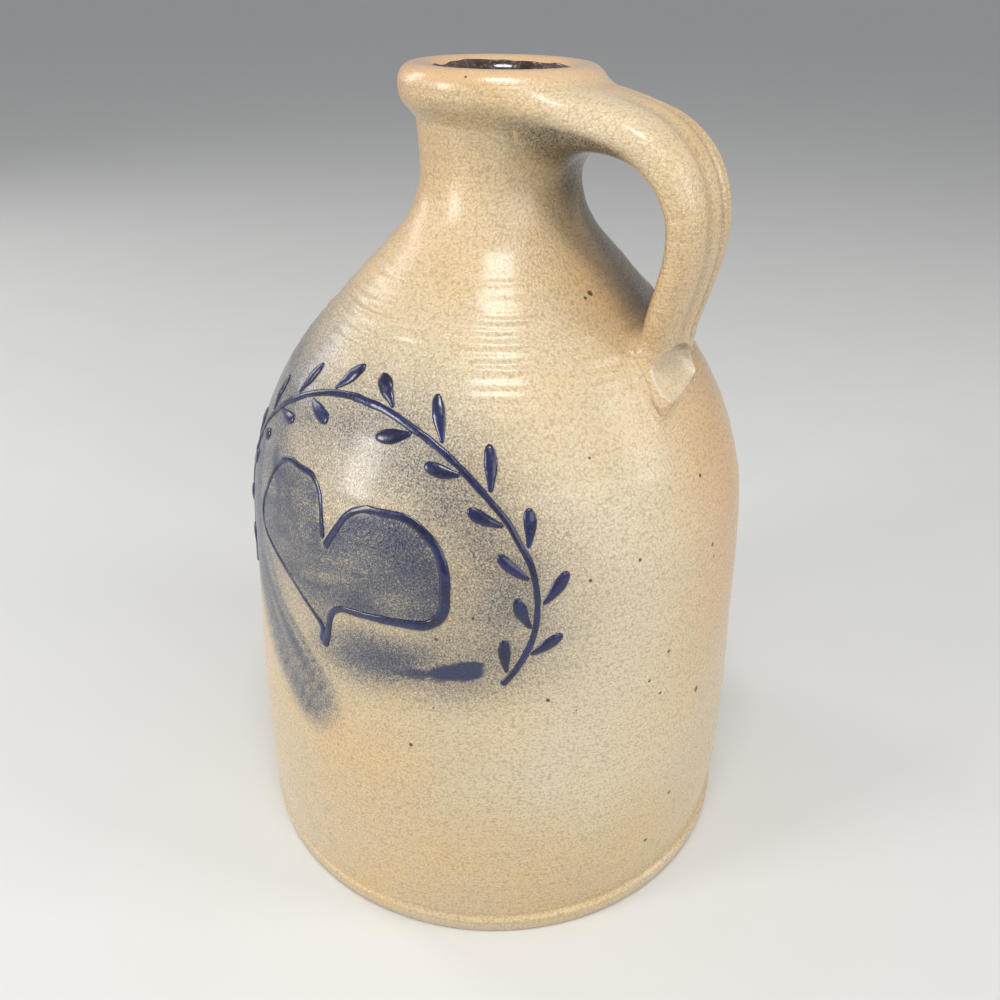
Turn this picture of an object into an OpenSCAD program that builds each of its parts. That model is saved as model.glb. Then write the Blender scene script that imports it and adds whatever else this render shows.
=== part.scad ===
// Stoneware crock jug: a thrown body with a small rimmed mouth, a pulled strap handle
// luted to the rim and the shoulder, a dark glaze lining and raised slip decoration.
// Millimetres. +Z is up, the handle is on the +X side and the decoration faces -Y.
// The origin is the middle of the foot, on the surface that the jug stands on.

/* [Body] */
// Height from the foot to the crest of the rim
jug_h = 267; // [250:1:300]
// Diameter of the wall at its widest, near the foot
belly_d = 177.8; // [170:0.2:190]
// Height of the bevel round the bottom edge
foot_bevel_h = 4; // [2:0.5:5]
// How far that bevel draws the bottom edge in
foot_bevel_in = 1.2; // [0.4:0.1:3]
// Height of the trimmed foot band
band_h = 6.5; // [5:0.5:9]
// How far the wall steps in above the foot band
band_in = 0.7; // [0.3:0.1:1.5]
// Height over which the wall swells out again above the band
band_fade_h = 16; // [8:1:24]
// Height at which the wall starts to lean in
lean_h = 52; // [40:1:60]
// Radius of the slow curve where it leans in
lean_round = 250; // [150:10:350]
// Diameter at the corner where the wall turns into the shoulder
shoulder_d = 166.1; // [155:0.1:169]
// Radius of the curve that rounds that corner
shoulder_round = 101; // [80:1:110]

/* [Neck and rim] */
// Height of the shoulder's slope, from its lower corner to its upper one
shoulder_h = 63; // [56:0.5:68]
// Diameter at the corner where the shoulder turns up into the neck
neck_d = 47.5; // [46:0.5:54]
// Radius of the hollow curve from the shoulder to the neck
neck_round = 29.5; // [20:0.5:34]
// Height of the neck, from that corner to the crease under the rim
neck_h = 24.3; // [20:0.1:30]
// Diameter at the crease under the rim
crease_d = 50.5; // [49:0.5:56]
// Radius in the bottom of the crease
crease_round = 1.2; // [1:0.1:2]
// Diameter of the rim
rim_d = 60.7; // [59:0.1:68]
// Height of the rim, from the crease to the crest
rim_h = 14.8; // [13:0.1:18]
// Height of the slope under the rim
rim_slope_h = 5.4; // [4:0.1:7]
// Radius under the rim, where the slope turns upright
rim_under_round = 7.4; // [3:0.1:8]
// Radius over the outer edge of the rim
rim_over_round = 5; // [3:0.1:6]

/* [Inside] */
// Thickness of the clay wall
wall_t = 6; // [5:0.5:9]
// Thickness of the clay floor
floor_t = 8; // [5:0.5:12]
// Radius between the wall and the floor inside
floor_round = 12; // [8:1:20]
// Diameter of the glazed throat, which a cork closes
bore_d = 34; // [30:0.5:36]
// Radius over the inner edge of the rim
lip_round = 7; // [4:0.5:7]
// Radius where the throat opens into the shoulder
throat_round = 20; // [12:1:26]
// Thickness of the lining glaze
glaze_t = 0.5; // [0.3:0.1:1]
// How far below the crest the lining glaze stops
glaze_drop = 1.6; // [1:0.1:4]

/* [Handle] */
// Width of the strap where it leaves the rim
strap_w = 34.3; // [28:0.1:38]
// Width of the strap at its lower end
strap_foot_w = 29.2; // [24:0.1:34]
// Thickness of the strap at the rim
strap_t = 17.4; // [14:0.1:18]
// Thickness of the strap at its middle
strap_mid_t = 11.1; // [9:0.1:14]
// Thickness of the strap where it reaches the shoulder
strap_foot_t = 12; // [10:0.1:14]
// Distance of the strap's middle line from the jug's axis, at its furthest
handle_reach = 66.3; // [62:0.1:74]
// Distance of that line from the axis at the corner on top
handle_top_reach = 64.8; // [60:0.1:72]
// Distance of that line from the axis where it comes down to the shoulder
handle_foot_reach = 59.5; // [57:0.1:62]
// How far below the crest the line starts, inside the rim
handle_root_drop = 8.6; // [8:0.1:12]
// How far below the crest the corner on top lies
handle_top_drop = 17.9; // [16:0.1:24]
// How far below the crest the line is furthest out
handle_side_drop = 43.5; // [38:0.5:50]
// How far above the shoulder the line turns straight down
handle_foot_rise = 8.5; // [7:0.1:13]
// Height over which the end of the strap lies on the shoulder
handle_lay_h = 12.3; // [10:0.1:16]
// Radius of the bend on top
handle_top_round = 24; // [16:1:26]
// Radius of the slow bend at the side
handle_side_round = 46; // [30:1:60]
// Radius of the bend above the lower joint
handle_foot_round = 30; // [15:1:34]
// Radius of the bend where the strap is laid onto the shoulder
handle_lay_round = 7; // [4:0.5:8]
// Turn of the strap about the jug's axis, from its top to its lower end
handle_lean = 6.6; // [0:0.2:10]
// Extra depth of clay wiped under the strap at the neck
root_flare = 9; // [4:0.5:12]
// Extra width of clay wiped beside the strap at the neck
root_spread = 3; // [0:0.5:5]
// Length of strap over which that clay runs out
root_len = 26; // [18:1:32]
// Depth of the grooves that the fingers draw down the strap
flute_depth = 0.8; // [0.2:0.1:1.2]
// Distance between those grooves
flute_pitch = 10; // [8:0.5:12]
// Length of the end that is pressed onto the shoulder
press_len = 15; // [13:0.5:17]
// Thickness of that end at its raised edges
press_t = 8.6; // [7:0.1:10]
// Radius of the thumb's hollow, along the strap
thumb_r = 11; // [9:0.5:13]
// Radius of the bow that the hollow follows across the strap
thumb_bow = 27; // [20:1:40]
// Depth of the thumb's hollow
thumb_dip = 2.2; // [1:0.1:2.6]

/* [Luting slip] */
// Thickness of the slip between the handle and the body
slip_t = 0.5; // [0.3:0.1:0.8]
// How far the slip squeezes out round the joint
slip_spread = 1.1; // [0.5:0.1:2]
// How far below the crest the slip of the upper joint stops
slip_drop = 1.6; // [1:0.1:3]

/* [Slip decoration] */
// Where the decoration faces, as an angle about the jug's axis
front_angle = -92.5; // [-120:0.5:-60]
// Width of the heart, measured round the belly
heart_w = 83; // [60:1:90]
// Height of the heart
heart_h = 53; // [40:1:56]
// Height of the heart's lower tip above the foot
heart_foot_h = 108; // [100:1:114]
// Width of the heart's line
heart_line_w = 2.8; // [2:0.1:3.4]
// Width of the sprig that arches over the heart, measured round the belly
sprig_w = 140; // [130:1:146]
// Height from the middle of that arch to its top
sprig_rise = 49; // [44:1:51]
// Width of the sprig's stem
stem_w = 2; // [1.4:0.1:2.6]
// Length of a leaf
leaf_len = 12.5; // [8:0.5:13]
// Width of a leaf
leaf_w = 3.8; // [2.4:0.1:4.2]
// Number of leaves along the stem
leaf_count = 24; // [12:2:26]
// How far the slip stands up from the wall
trail_h = 0.75; // [0.4:0.05:1]

/* [Hidden] */
$fn = 128;

// Largest turn between two points of a rounded corner, in degrees
arc_step_angle = 5;
// Clearance between two fired layers, so that their curved faces never cross
seat_gap = 0.05;
// Ratio of a circle's circumference to its diameter, and degrees in one radian
pi_share = 3.14159265;
radian = 180 / pi_share;

// Places that follow from the sizes above
belly_r = belly_d / 2;
shoulder_r = shoulder_d / 2;
neck_r = neck_d / 2;
crease_r = crease_d / 2;
rim_r = rim_d / 2;
bore_r = bore_d / 2;
throat_r = bore_r + glaze_t + seat_gap;
crease_z = jug_h - rim_h;
neck_z = crease_z - neck_h;
shoulder_z = neck_z - shoulder_h;
crest_r = (rim_r - rim_over_round + throat_r + lip_round) / 2;
foot_round = foot_bevel_in;
band_round = band_fade_h;

// Plain geometry of points and directions in a plane

function flat(p) = [p[0], p[1]];
function unit(v) = v / norm(v);
function right_of(v) = [v[1], -v[0]];
function turned(v, a) = [v[0] * cos(a) - v[1] * sin(a), v[0] * sin(a) + v[1] * cos(a)];
function mix(a, b, share) = a + (b - a) * share;
function last(list) = list[len(list) - 1];

// Half the angle at corner b between a and c. A corner is [across, up, radius].
function half_angle(a, b, c) =
    acos(unit(flat(a) - flat(b)) * unit(flat(c) - flat(b))) / 2;

// Length of a side that the arc at corner i takes up
function taken(c, i) =
    i == 0 || i == len(c) - 1 ? 0 : c[i][2] / tan(half_angle(c[i - 1], c[i], c[i + 1]));

// Share of their radius that the arcs at both ends of side i can have on its length
function room_share(c, i) =
    let (both = taken(c, i) + taken(c, i + 1), side = norm(flat(c[i + 1]) - flat(c[i])))
        both > side ? side / both : 1;

// The arc of radius r that rounds corner b between a and c
function arc_at(a, b, c, r) =
    let (
        p = flat(b),
        u = unit(flat(a) - p),
        v = unit(flat(c) - p),
        half = half_angle(a, b, c),
        centre = p + unit(u + v) * r / sin(half),
        spoke = p + u * r / tan(half) - centre,
        turn = (cross(u, v) > 0 ? -1 : 1) * (180 - 2 * half),
        steps = ceil(abs(turn) / arc_step_angle)
    )
    [for (i = [0:steps]) centre + turned(spoke, turn * i / steps)];

// A line through corners, each rounded to its own radius or to what its sides have room for
function rounded(c) = [
    for (i = [0:len(c) - 1])
        each i == 0 || i == len(c) - 1 || c[i][2] == 0
            ? [flat(c[i])]
            : arc_at(c[i - 1], c[i], c[i + 1], c[i][2] * min(room_share(c, i - 1), room_share(c, i)))
];

// The same corners moved a distance to the right of the way they run
function moved(c, dist) = [
    for (i = [0:len(c) - 1])
        let (
            p = flat(c[i]),
            ahead = unit(i == len(c) - 1 ? p - flat(c[i - 1]) : flat(c[i + 1]) - p),
            behind = i == 0 ? ahead : unit(p - flat(c[i - 1])),
            n = right_of(ahead) + right_of(behind),
            shift = dist * n / (1 + right_of(ahead) * right_of(behind)),
            radius = c[i][2] == 0 ? 0 : c[i][2] + sign(cross(behind, ahead)) * dist
        )
        [p[0] + shift[0], p[1] + shift[1], radius]
];

// Distance run along a line of points, at each point
function runs(pts) = [
    for (i = 0, s = 0; i < len(pts);
            s = s + norm(pts[min(i + 1, len(pts) - 1)] - pts[i]), i = i + 1) s
];

// Outline of the clay, outside from the foot to the crest

wall_corners = [
    [belly_r - foot_bevel_in, 0, 0],
    [belly_r, foot_bevel_h, foot_round],
    [belly_r, band_h, 0],
    [belly_r - band_in, band_h + band_in, band_in],
    [belly_r, band_h + band_fade_h, band_round],
    [belly_r, lean_h, lean_round],
    [shoulder_r, shoulder_z, shoulder_round],
    [neck_r, neck_z, neck_round],
    [crease_r, crease_z, crease_round],
    [rim_r, crease_z + rim_slope_h, rim_under_round],
    [rim_r, jug_h, rim_over_round],
    [crest_r, jug_h, 0]
];
wall_line = rounded(wall_corners);

// The same outline inside, from the crest down the throat to the middle of the floor.
// The shoulder's inner corner and the belly's run parallel to the outside.

lean_corner = 5;
shoulder_corner = 6;
inner_wall = moved(wall_corners, -wall_t);
inner_shoulder = inner_wall[shoulder_corner];
inner_lean = inner_wall[lean_corner];
slope = unit([neck_r - shoulder_r, neck_z - shoulder_z]);
throat_z = inner_shoulder[1] + slope[1] * (throat_r - inner_shoulder[0]) / slope[0];
inside_corners = [
    [crest_r, jug_h, 0],
    [throat_r, jug_h, lip_round],
    [throat_r, throat_z, throat_round],
    inner_shoulder,
    inner_lean,
    [belly_r - wall_t, floor_t, floor_round],
    [0, floor_t, 0]
];

module thrown_body() {
    color("#c9ad7c")
        rotate_extrude()
            polygon(concat([[0, 0]], wall_line, rounded(inside_corners)));
}

// Everything inside the outline, grown by a film of slip, to cut the handle to its seat
module filled_body(film) {
    rotate_extrude()
        polygon(concat([[0, 0]], rounded(moved(wall_corners, film)), [[0, jug_h + film]]));
}

// The lining glaze covers the clay from just below the crest down to the floor
function below_glaze_edge(pts) = [for (p = pts) if (p[1] < jug_h - glaze_drop) p];

module liner_glaze() {
    clay_side = below_glaze_edge(rounded(moved(inside_corners, seat_gap)));
    open_side = below_glaze_edge(rounded(moved(inside_corners, seat_gap + glaze_t)));
    color("#3b2c22")
        rotate_extrude()
            polygon(concat(clay_side, [for (i = [len(open_side) - 1:-1:0]) open_side[i]]));
}

// Radius of the outside of the wall at a height, and the way its surface leans there

wall_radii = [for (p = wall_line) if (p[1] < crease_z) [p[1], p[0]]];
slope_radii = [for (i = [len(wall_radii) - 1:-1:0]) [wall_radii[i][1], wall_radii[i][0]]];
lean_probe = band_in;

function wall_r(z) = lookup(z, wall_radii);
function wall_rise(z) = unit([wall_r(z + lean_probe) - wall_r(z - lean_probe), 2 * lean_probe]);

// Closed skin of triangles over a row of rings with the same number of points

module skin(rings) {
    n = len(rings[0]);
    m = len(rings);
    sides = [
        for (i = [0:m - 2], j = [0:n - 1])
            let (a = i * n + j, b = i * n + (j + 1) % n)
                each [[a, b, a + n], [b, b + n, a + n]]
    ];
    near_end = [for (j = [1:n - 2]) [0, j + 1, j]];
    far_end = [for (j = [1:n - 2]) [(m - 1) * n, (m - 1) * n + j, (m - 1) * n + j + 1]];
    polyhedron(
        points = [for (r = rings) each r],
        faces = concat(sides, near_end, far_end),
        convexity = m
    );
}

// Middle line of the strap, in the upright plane of the handle. It starts inside the
// rim's wall and ends on the shoulder, where it lies along the clay.

root_r = (neck_r + bore_r) / 2;
lay_z = lookup(handle_foot_reach, [for (p = slope_radii) if (p[1] > shoulder_z) p]);
end_z = lay_z - handle_lay_h;
strap_line = rounded([
    [root_r, jug_h - handle_root_drop, 0],
    [handle_top_reach, jug_h - handle_top_drop, handle_top_round],
    [handle_reach, jug_h - handle_side_drop, handle_side_round],
    [handle_foot_reach, lay_z + handle_foot_rise, handle_foot_round],
    [handle_foot_reach, lay_z, handle_lay_round],
    [wall_r(end_z), end_z, 0]
]);
strap_runs = runs(strap_line);
strap_len = last(strap_runs);
strap_across = [for (i = [0:len(strap_line) - 1]) [strap_runs[i], strap_line[i][0]]];
strap_up = [for (i = [0:len(strap_line) - 1]) [strap_runs[i], strap_line[i][1]]];
strap_probe = strap_mid_t / 4;

function strap_at(s) = [lookup(s, strap_across), lookup(s, strap_up)];
function strap_way(s) =
    unit(strap_at(min(s + strap_probe, strap_len)) - strap_at(max(s - strap_probe, 0)));

// Thickness along the strap: full at the rim, thinner at the middle, and pressed flat
// by the thumb where it lies on the shoulder
mid_share = 0.5;
press_step = (strap_foot_t - press_t) / 2;
strap_thickness = [
    [0, strap_t],
    [strap_len * mid_share, strap_mid_t],
    [strap_len - press_len, strap_foot_t],
    [strap_len - press_len + press_step, press_t],
    [strap_len, press_t]
];

// How much of the root's extra clay is left at a run along the strap
function root_share(s) = pow(max(0, 1 - s / root_len), 2);

// Grooves lie on the outer face, fade in from the root and out towards the pressed end
function flute_share(s) =
    max(0, min(1, s / root_len - 1, (strap_len - press_len - s) / press_len));

// One ring round the strap: a soft-cornered oblong, with its grooves and its lean
ring_points = 32;
corner_share = 0.78;
function soft(x) = sign(x) * pow(abs(x), corner_share);
function strap_ring(s, spread) =
    let (
        at = strap_at(s),
        out = -right_of(strap_way(s)),
        half_w = mix(strap_w, strap_foot_w, s / strap_len) / 2
            + root_spread * root_share(s) + spread,
        half_t = lookup(s, strap_thickness) / 2 + spread,
        turn = handle_lean * (s / strap_len - 1 / 2)
    )
    [
        for (i = [0:ring_points - 1])
            let (
                a = 360 * i / ring_points,
                side = half_w * soft(cos(a)),
                near = abs(side) < flute_pitch && sin(a) > 0 ? 1 - cos(360 * side / flute_pitch) : 0,
                rise = sin(a) > 0 ? half_t : half_t + root_flare * root_share(s),
                up = rise * soft(sin(a)) - near * flute_depth * flute_share(s) / 2,
                p = turned([at[0] + out[0] * up, side], turn)
            )
            [p[0], p[1], at[1] + out[1] * up]
    ];

// The strap between two runs, grown by a spread of slip if wanted
ring_count = 44;
module strap(from, to, spread, count) {
    skin([for (i = [0:count]) strap_ring(mix(from, to, i / count), spread)]);
}

// The hollow that the thumb leaves in the pressed end: a round trough across the strap
// that is deepest in the middle, because it follows a wide bow
module thumb_hollow() {
    s = strap_len - press_len / 2;
    at = strap_at(s);
    way = strap_way(s);
    rotate([0, 0, handle_lean / 2])
        translate([at[0], 0, at[1]])
            rotate([0, atan2(-way[0], -way[1]), 0])
                translate([press_t / 2 - thumb_dip + thumb_r + thumb_bow, 0, 0])
                    rotate_extrude()
                        translate([thumb_bow, 0])
                            circle(r = thumb_r);
}

module pulled_handle() {
    color("#d2b583")
        difference() {
            strap(0, strap_len, 0, ring_count);
            filled_body(slip_t + 2 * seat_gap);
            thumb_hollow();
        }
}

// The luting slip is the film between the clay wall and the handle, a little wider
// than the strap's own footprint, because it squeezes out all round
luting_rings = 14;
module luting_slip(from, to) {
    difference() {
        intersection() {
            strap(from, to, slip_spread, luting_rings);
            filled_body(slip_t + seat_gap);
            cylinder(r = belly_r, h = jug_h - slip_drop);
        }
        filled_body(seat_gap);
    }
}

module upper_luting_slip() {
    color("#bfa272")
        luting_slip(0, root_len);
}

module lower_luting_slip() {
    color("#bfa272")
        luting_slip(strap_len - 2 * press_len, strap_len);
}

// Slip decoration. A place on the wall is [round, up]: the distance round the belly
// from the middle of the decoration, and the height. A vector in true millimetres
// along the wall is turned into such a step by the wall's own size and lean there.

function wall_step(at, v) =
    [at[0] + v[0] * belly_r / wall_r(at[1]), at[1] + v[1] * wall_rise(at[1])[1]];
function true_way(at, v) =
    unit([v[0] * wall_r(at[1]) / belly_r, v[1] / wall_rise(at[1])[1]]);
function on_wall(at, lift) =
    let (
        turn = front_angle + radian * at[0] / belly_r,
        rise = wall_rise(at[1]),
        r = wall_r(at[1]) + lift * rise[1]
    )
    [r * cos(turn), r * sin(turn), at[1] - lift * rise[0]];

// Section of a trailed line as shares of its width and height, from edge to edge
dome_shares = [[-0.5, 0], [-0.4, 0.55], [-0.17, 0.95], [0.17, 0.95], [0.4, 0.55], [0.5, 0]];

// A trailed line through places on the wall, with its width at each place
module trail(places, widths) {
    n = len(places) - 1;
    skin([
        for (i = [0:n])
            let (
                at = places[i],
                way = true_way(at, places[min(i + 1, n)] - places[max(i - 1, 0)]),
                body = min(1, widths[i] / stem_w)
            )
            [
                for (d = dome_shares)
                    on_wall(
                        wall_step(at, right_of(way) * d[0] * widths[i]),
                        seat_gap + d[1] * trail_h * body
                    )
            ]
    ]);
}

// Places spread evenly along a line, a set distance apart
function spaced(line, gap) =
    let (
        run = runs(line),
        count = ceil(last(run) / gap),
        across = [for (i = [0:len(line) - 1]) [run[i], line[i][0]]],
        up = [for (i = [0:len(line) - 1]) [run[i], line[i][1]]]
    )
    [
        for (i = [0:count])
            let (s = last(run) * i / count)
                [lookup(s, across), lookup(s, up)]
    ];

// Widths along a line that is round at both ends
tip_share = 0.25;
function round_ended(count, width, gap) = [
    for (i = [0:count])
        let (
            from_end = min(i, count - i) * gap / (width / 2),
            in = min(1, tip_share + from_end)
        )
        width * sqrt(1 - (1 - in) * (1 - in))
];

// The heart is drawn in two strokes from the cleft. Each row is [across, up, radius],
// as shares of half the width, of the height and of the height.
right_stroke_shares = [
    [-0.01, 0.66, 0], [0.22, 0.94, 0.24], [1, 0.95, 0.33], [1.03, 0.365, 0.17],
    [0.09, 0.32, 0.14], [-0.03, 0, 0]
];
left_stroke_shares = [
    [-0.06, 0.72, 0], [-0.15, 1, 0.18], [-0.77, 1.01, 0.28], [-1.03, 0.54, 0.16],
    [-0.39, 0.33, 0.36], [-0.06, 0.135, 0.08], [-0.1, 0.02, 0]
];
stroke_gap_share = 0.9;
stroke_gap = heart_line_w * stroke_gap_share;

module heart_stroke(shares) {
    line = rounded([
        for (c = shares)
            [c[0] * heart_w / 2, heart_foot_h + c[1] * heart_h, c[2] * heart_h]
    ]);
    places = spaced(line, stroke_gap);
    trail(places, round_ended(len(places) - 1, heart_line_w, stroke_gap));
}

module heart_trail() {
    color("#1f2c5c") {
        heart_stroke(right_stroke_shares);
        heart_stroke(left_stroke_shares);
    }
}

// The sprig's stem is an arch over the heart, and its leaves stand on either side
sprig_mid_z = heart_foot_h + heart_h / 2;
sprig_from = -32;
sprig_to = 212;
top_angle = (sprig_from + sprig_to) / 2;
top_gap_angle = 8;
stem_steps = 96;
function arch(a) = [sprig_w / 2 * cos(a), sprig_mid_z + sprig_rise * sin(a)];

module sprig_stem() {
    places = [for (i = [0:stem_steps]) arch(mix(sprig_from, sprig_to, i / stem_steps))];
    color("#1f2c5c")
        trail(places, round_ended(stem_steps, stem_w, stem_w));
}

// One leaf: a short stroke that is narrow at the stem, widest past its middle, and curls.
// Side 1 is the outer side of the arch, and every leaf leans towards the arch's top.
leaf_shares = [0.3, 0.55, 0.8, 0.97, 1, 0.9, 0.62, 0.3];
leaf_lean = 42;
leaf_curl_share = 0.16;
module leaf(angle, side) {
    root = arch(angle);
    up_arch = angle < top_angle ? 1 : -1;
    along = up_arch * true_way(root, arch(angle + 1) - arch(angle - 1));
    way = turned(along, -up_arch * side * leaf_lean);
    out = turned(along, -up_arch * side * 90);
    n = len(leaf_shares) - 1;
    foot = out * (stem_w + leaf_w * leaf_shares[0]);
    places = [
        for (i = [0:n])
            wall_step(root, foot + way * leaf_len * i / n
                - out * leaf_len * leaf_curl_share * pow(i / n, 2))
    ];
    trail(places, leaf_w * leaf_shares);
}

// Two equal rows of leaves, each from its own end of the stem to just short of the top,
// on the outer and the inner side of the arch by turns
module sprig_leaves() {
    row = leaf_count / 2;
    color("#1f2c5c")
        for (i = [0:row - 1], hand = [-1, 1])
            leaf(
                top_angle + hand * mix(top_gap_angle, sprig_to - top_angle, (i + 1 / 2) / row),
                i % 2 == 0 ? 1 : -1
            );
}

thrown_body();
pulled_handle();
upper_luting_slip();
lower_luting_slip();
liner_glaze();
heart_trail();
sprig_stem();
sprig_leaves();
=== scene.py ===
# %% [markdown]
# # A salt-glazed stoneware jug
# The real jug is one fired pot: a thrown body, a pulled strap handle that was luted on while
# the clay was damp, a dark glaze poured inside, and blue slip trailed and brushed on the front.
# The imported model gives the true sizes. This script lays a finer skin over each of its solids:
# every piece is a surface worked out with numpy, and every finish is made from nodes.

import bpy
import numpy as np
from mathutils import Matrix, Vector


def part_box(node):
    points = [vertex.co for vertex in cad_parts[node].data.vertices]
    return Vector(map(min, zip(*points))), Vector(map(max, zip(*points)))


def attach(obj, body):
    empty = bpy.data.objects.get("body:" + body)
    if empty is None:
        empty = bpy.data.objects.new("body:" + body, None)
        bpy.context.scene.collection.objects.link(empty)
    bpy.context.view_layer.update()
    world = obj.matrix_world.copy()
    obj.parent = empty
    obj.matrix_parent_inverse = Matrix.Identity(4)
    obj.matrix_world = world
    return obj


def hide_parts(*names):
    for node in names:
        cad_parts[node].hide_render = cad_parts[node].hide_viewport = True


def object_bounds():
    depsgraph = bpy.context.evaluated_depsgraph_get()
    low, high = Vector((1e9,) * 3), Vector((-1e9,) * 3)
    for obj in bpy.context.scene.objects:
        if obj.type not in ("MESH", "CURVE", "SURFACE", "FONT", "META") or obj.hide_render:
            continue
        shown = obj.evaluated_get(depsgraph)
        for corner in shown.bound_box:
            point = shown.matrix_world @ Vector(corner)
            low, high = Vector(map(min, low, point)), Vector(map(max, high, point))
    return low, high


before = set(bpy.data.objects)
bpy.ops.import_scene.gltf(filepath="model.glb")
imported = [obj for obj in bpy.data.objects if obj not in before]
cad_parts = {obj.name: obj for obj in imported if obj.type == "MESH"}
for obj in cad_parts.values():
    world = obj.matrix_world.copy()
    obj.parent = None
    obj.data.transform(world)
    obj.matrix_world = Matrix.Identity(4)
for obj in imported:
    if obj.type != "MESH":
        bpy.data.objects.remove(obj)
cad_low, cad_high = [list(corner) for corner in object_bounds()]
MM = 0.001  # lengths here are in millimetres, and meshes take metres
jug_h, belly_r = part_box("thrown_body")[1][2] / MM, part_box("thrown_body")[1][0] / MM
print(f"jug {jug_h:.1f} mm high, belly radius {belly_r:.2f} mm")

# %% [markdown]
# ## The camera
# A camera is a focal length, a place and three turns. All were fitted to the outline of the rim,
# the belly and the foot, so the model falls on the photograph without any shift. The focal
# length is in pixels of a picture 1000 wide, which the sensor's width turns into millimetres.

# %% Camera
PICTURE_PX = 1000
FOCAL_PX = 950
SENSOR_MM = 36
CAMERA_PLACE_MM = (170.03, -247.39, 291.94)
CAMERA_TURN, CAMERA_PITCH, CAMERA_ROLL = np.radians([34.3, 29.54, 0.76])

camera_data = bpy.data.cameras.new("camera")
camera_data.sensor_width = SENSOR_MM
camera_data.lens = SENSOR_MM * FOCAL_PX / PICTURE_PX
camera_data.clip_start, camera_data.clip_end = 0.01, 100
camera = bpy.data.objects.new("camera", camera_data)
bpy.context.scene.collection.objects.link(camera)
camera.matrix_world = (
    Matrix.Translation([v * MM for v in CAMERA_PLACE_MM])
    @ Matrix.Rotation(CAMERA_TURN, 4, "Z")
    @ Matrix.Rotation(np.pi / 2 - CAMERA_PITCH, 4, "X")
    @ Matrix.Rotation(CAMERA_ROLL, 4, "Z")
)
bpy.context.scene.camera = camera
bpy.context.scene.view_settings.view_transform = "Standard"
print("camera lens", round(camera_data.lens, 2), "mm")

# %% [markdown]
# ## Four small tools
# Thrown clay is never quite even, so many shapes here need smooth random bumps. Random values
# are drawn once for the corners of a lattice and joined by smooth steps, which gives the same
# bumps on every run. `bell` and `fade` are the two soft curves that place them, and `unit` is
# used wherever a direction is needed.


# %% Soft random numbers
def waves(x, y, seed, around=64):
    """Smooth bumps between -1 and 1: a random value at each whole x and y, joined by the
    smooth step 3t^2 - 2t^3. The pattern repeats after `around` whole steps of x."""
    lattice = np.random.default_rng(seed).uniform(-1, 1, (around, 64))
    x, y = np.broadcast_arrays(np.asarray(x, float), np.asarray(y, float))
    xi, yi = np.floor(x).astype(int), np.floor(y).astype(int)
    tx, ty = x - xi, y - yi
    tx, ty = tx * tx * (3 - 2 * tx), ty * ty * (3 - 2 * ty)
    corner = lambda i, j: lattice[(xi + i) % around, (yi + j) % 64]
    low = corner(0, 0) * (1 - tx) + corner(1, 0) * tx
    high = corner(0, 1) * (1 - tx) + corner(1, 1) * tx
    return low * (1 - ty) + high * ty


def bell(x, middle, half_width):
    """A soft hump: 1 at the middle, e^-1 one half width away."""
    return np.exp(-(((x - middle) / half_width) ** 2))


def fade(x, start, end):
    """0 before start, 1 after end, and a smooth step between. Start may be above end."""
    t = np.clip((x - start) / (end - start), 0, 1)
    return t * t * (3 - 2 * t)


def unit(vectors):
    """Each vector divided by its own length."""
    return vectors / np.linalg.norm(vectors, axis=-1, keepdims=True)


print("waves run from", waves(np.arange(500) / 7, 0.3, 1).min().round(2))

# %% [markdown]
# ## From a grid of points to a closed skin
# Each piece is a grid: columns run round it and rows run along it. The faces are the quads
# between neighbours, and a fan closes each end round the middle of its row. The sum of the
# signed volumes under the faces says whether they point outwards, and if not, they are turned.


# %% Closed skins
def closed_skin(name, grid):
    """Mesh object from rows x columns x 3 points in millimetres, closed round and at both ends."""
    rows, columns = grid.shape[:2]
    points = np.concatenate([grid.reshape(-1, 3), grid[[0, -1]].mean(axis=1)]) * MM
    index = np.arange(rows * columns).reshape(rows, columns)
    index = np.hstack([index, index[:, :1]])
    quads = np.stack([index[:-1, :-1], index[:-1, 1:], index[1:, 1:], index[1:, :-1]], -1)
    quads = quads.reshape(-1, 4)
    near = np.full(columns, rows * columns)
    first, last = index[0], index[-1]
    fans = np.concatenate([
        np.stack([near, first[1:], first[:-1]], -1),
        np.stack([near + 1, last[:-1], last[1:]], -1),
    ])
    triangles = np.concatenate([quads[:, [0, 1, 2]], quads[:, [0, 2, 3]], fans])
    a, b, c = (points[triangles[:, k]] for k in range(3))
    if np.einsum("ij,ij->i", a, np.cross(b, c)).sum() < 0:
        quads, fans = quads[:, ::-1], fans[:, ::-1]
    mesh = bpy.data.meshes.new(name)
    mesh.from_pydata(points, [], quads.tolist() + fans.tolist())
    mesh.polygons.foreach_set("use_smooth", np.ones(len(mesh.polygons), bool))
    mesh.update()
    piece = bpy.data.objects.new(name, mesh)
    bpy.context.scene.collection.objects.link(piece)
    print(f"{name}: {rows} x {columns} points, {len(triangles)} triangles")
    return piece


def points_of(piece):
    """The points of a mesh in millimetres."""
    flat = np.empty(len(piece.data.vertices) * 3, np.float32)
    piece.data.vertices.foreach_get("co", flat)
    return flat.reshape(-1, 3).astype(float) / MM


def joined(name, pieces):
    """One object from several, such as the leaves of a sprig."""
    with bpy.context.temp_override(active_object=pieces[0], selected_editable_objects=pieces):
        bpy.ops.object.join()
    pieces[0].name = name
    return pieces[0]


def seated(piece, material, slot, *nodes):
    """Gives a piece its material and the solids that it stands for. The slot is not used."""
    piece.data.materials.clear()
    piece.data.materials.append(material)
    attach(piece, "root")
    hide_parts(*nodes)


# %% [markdown]
# ## The outline of the clay
# A potter's outline is a few long curves. Here it is a list of corners, each with the radius
# that rounds it, as it would be drawn on paper. The outside runs from the foot to the crest
# of the rim, and the inside runs from there down the throat to the middle of the floor.


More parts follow.
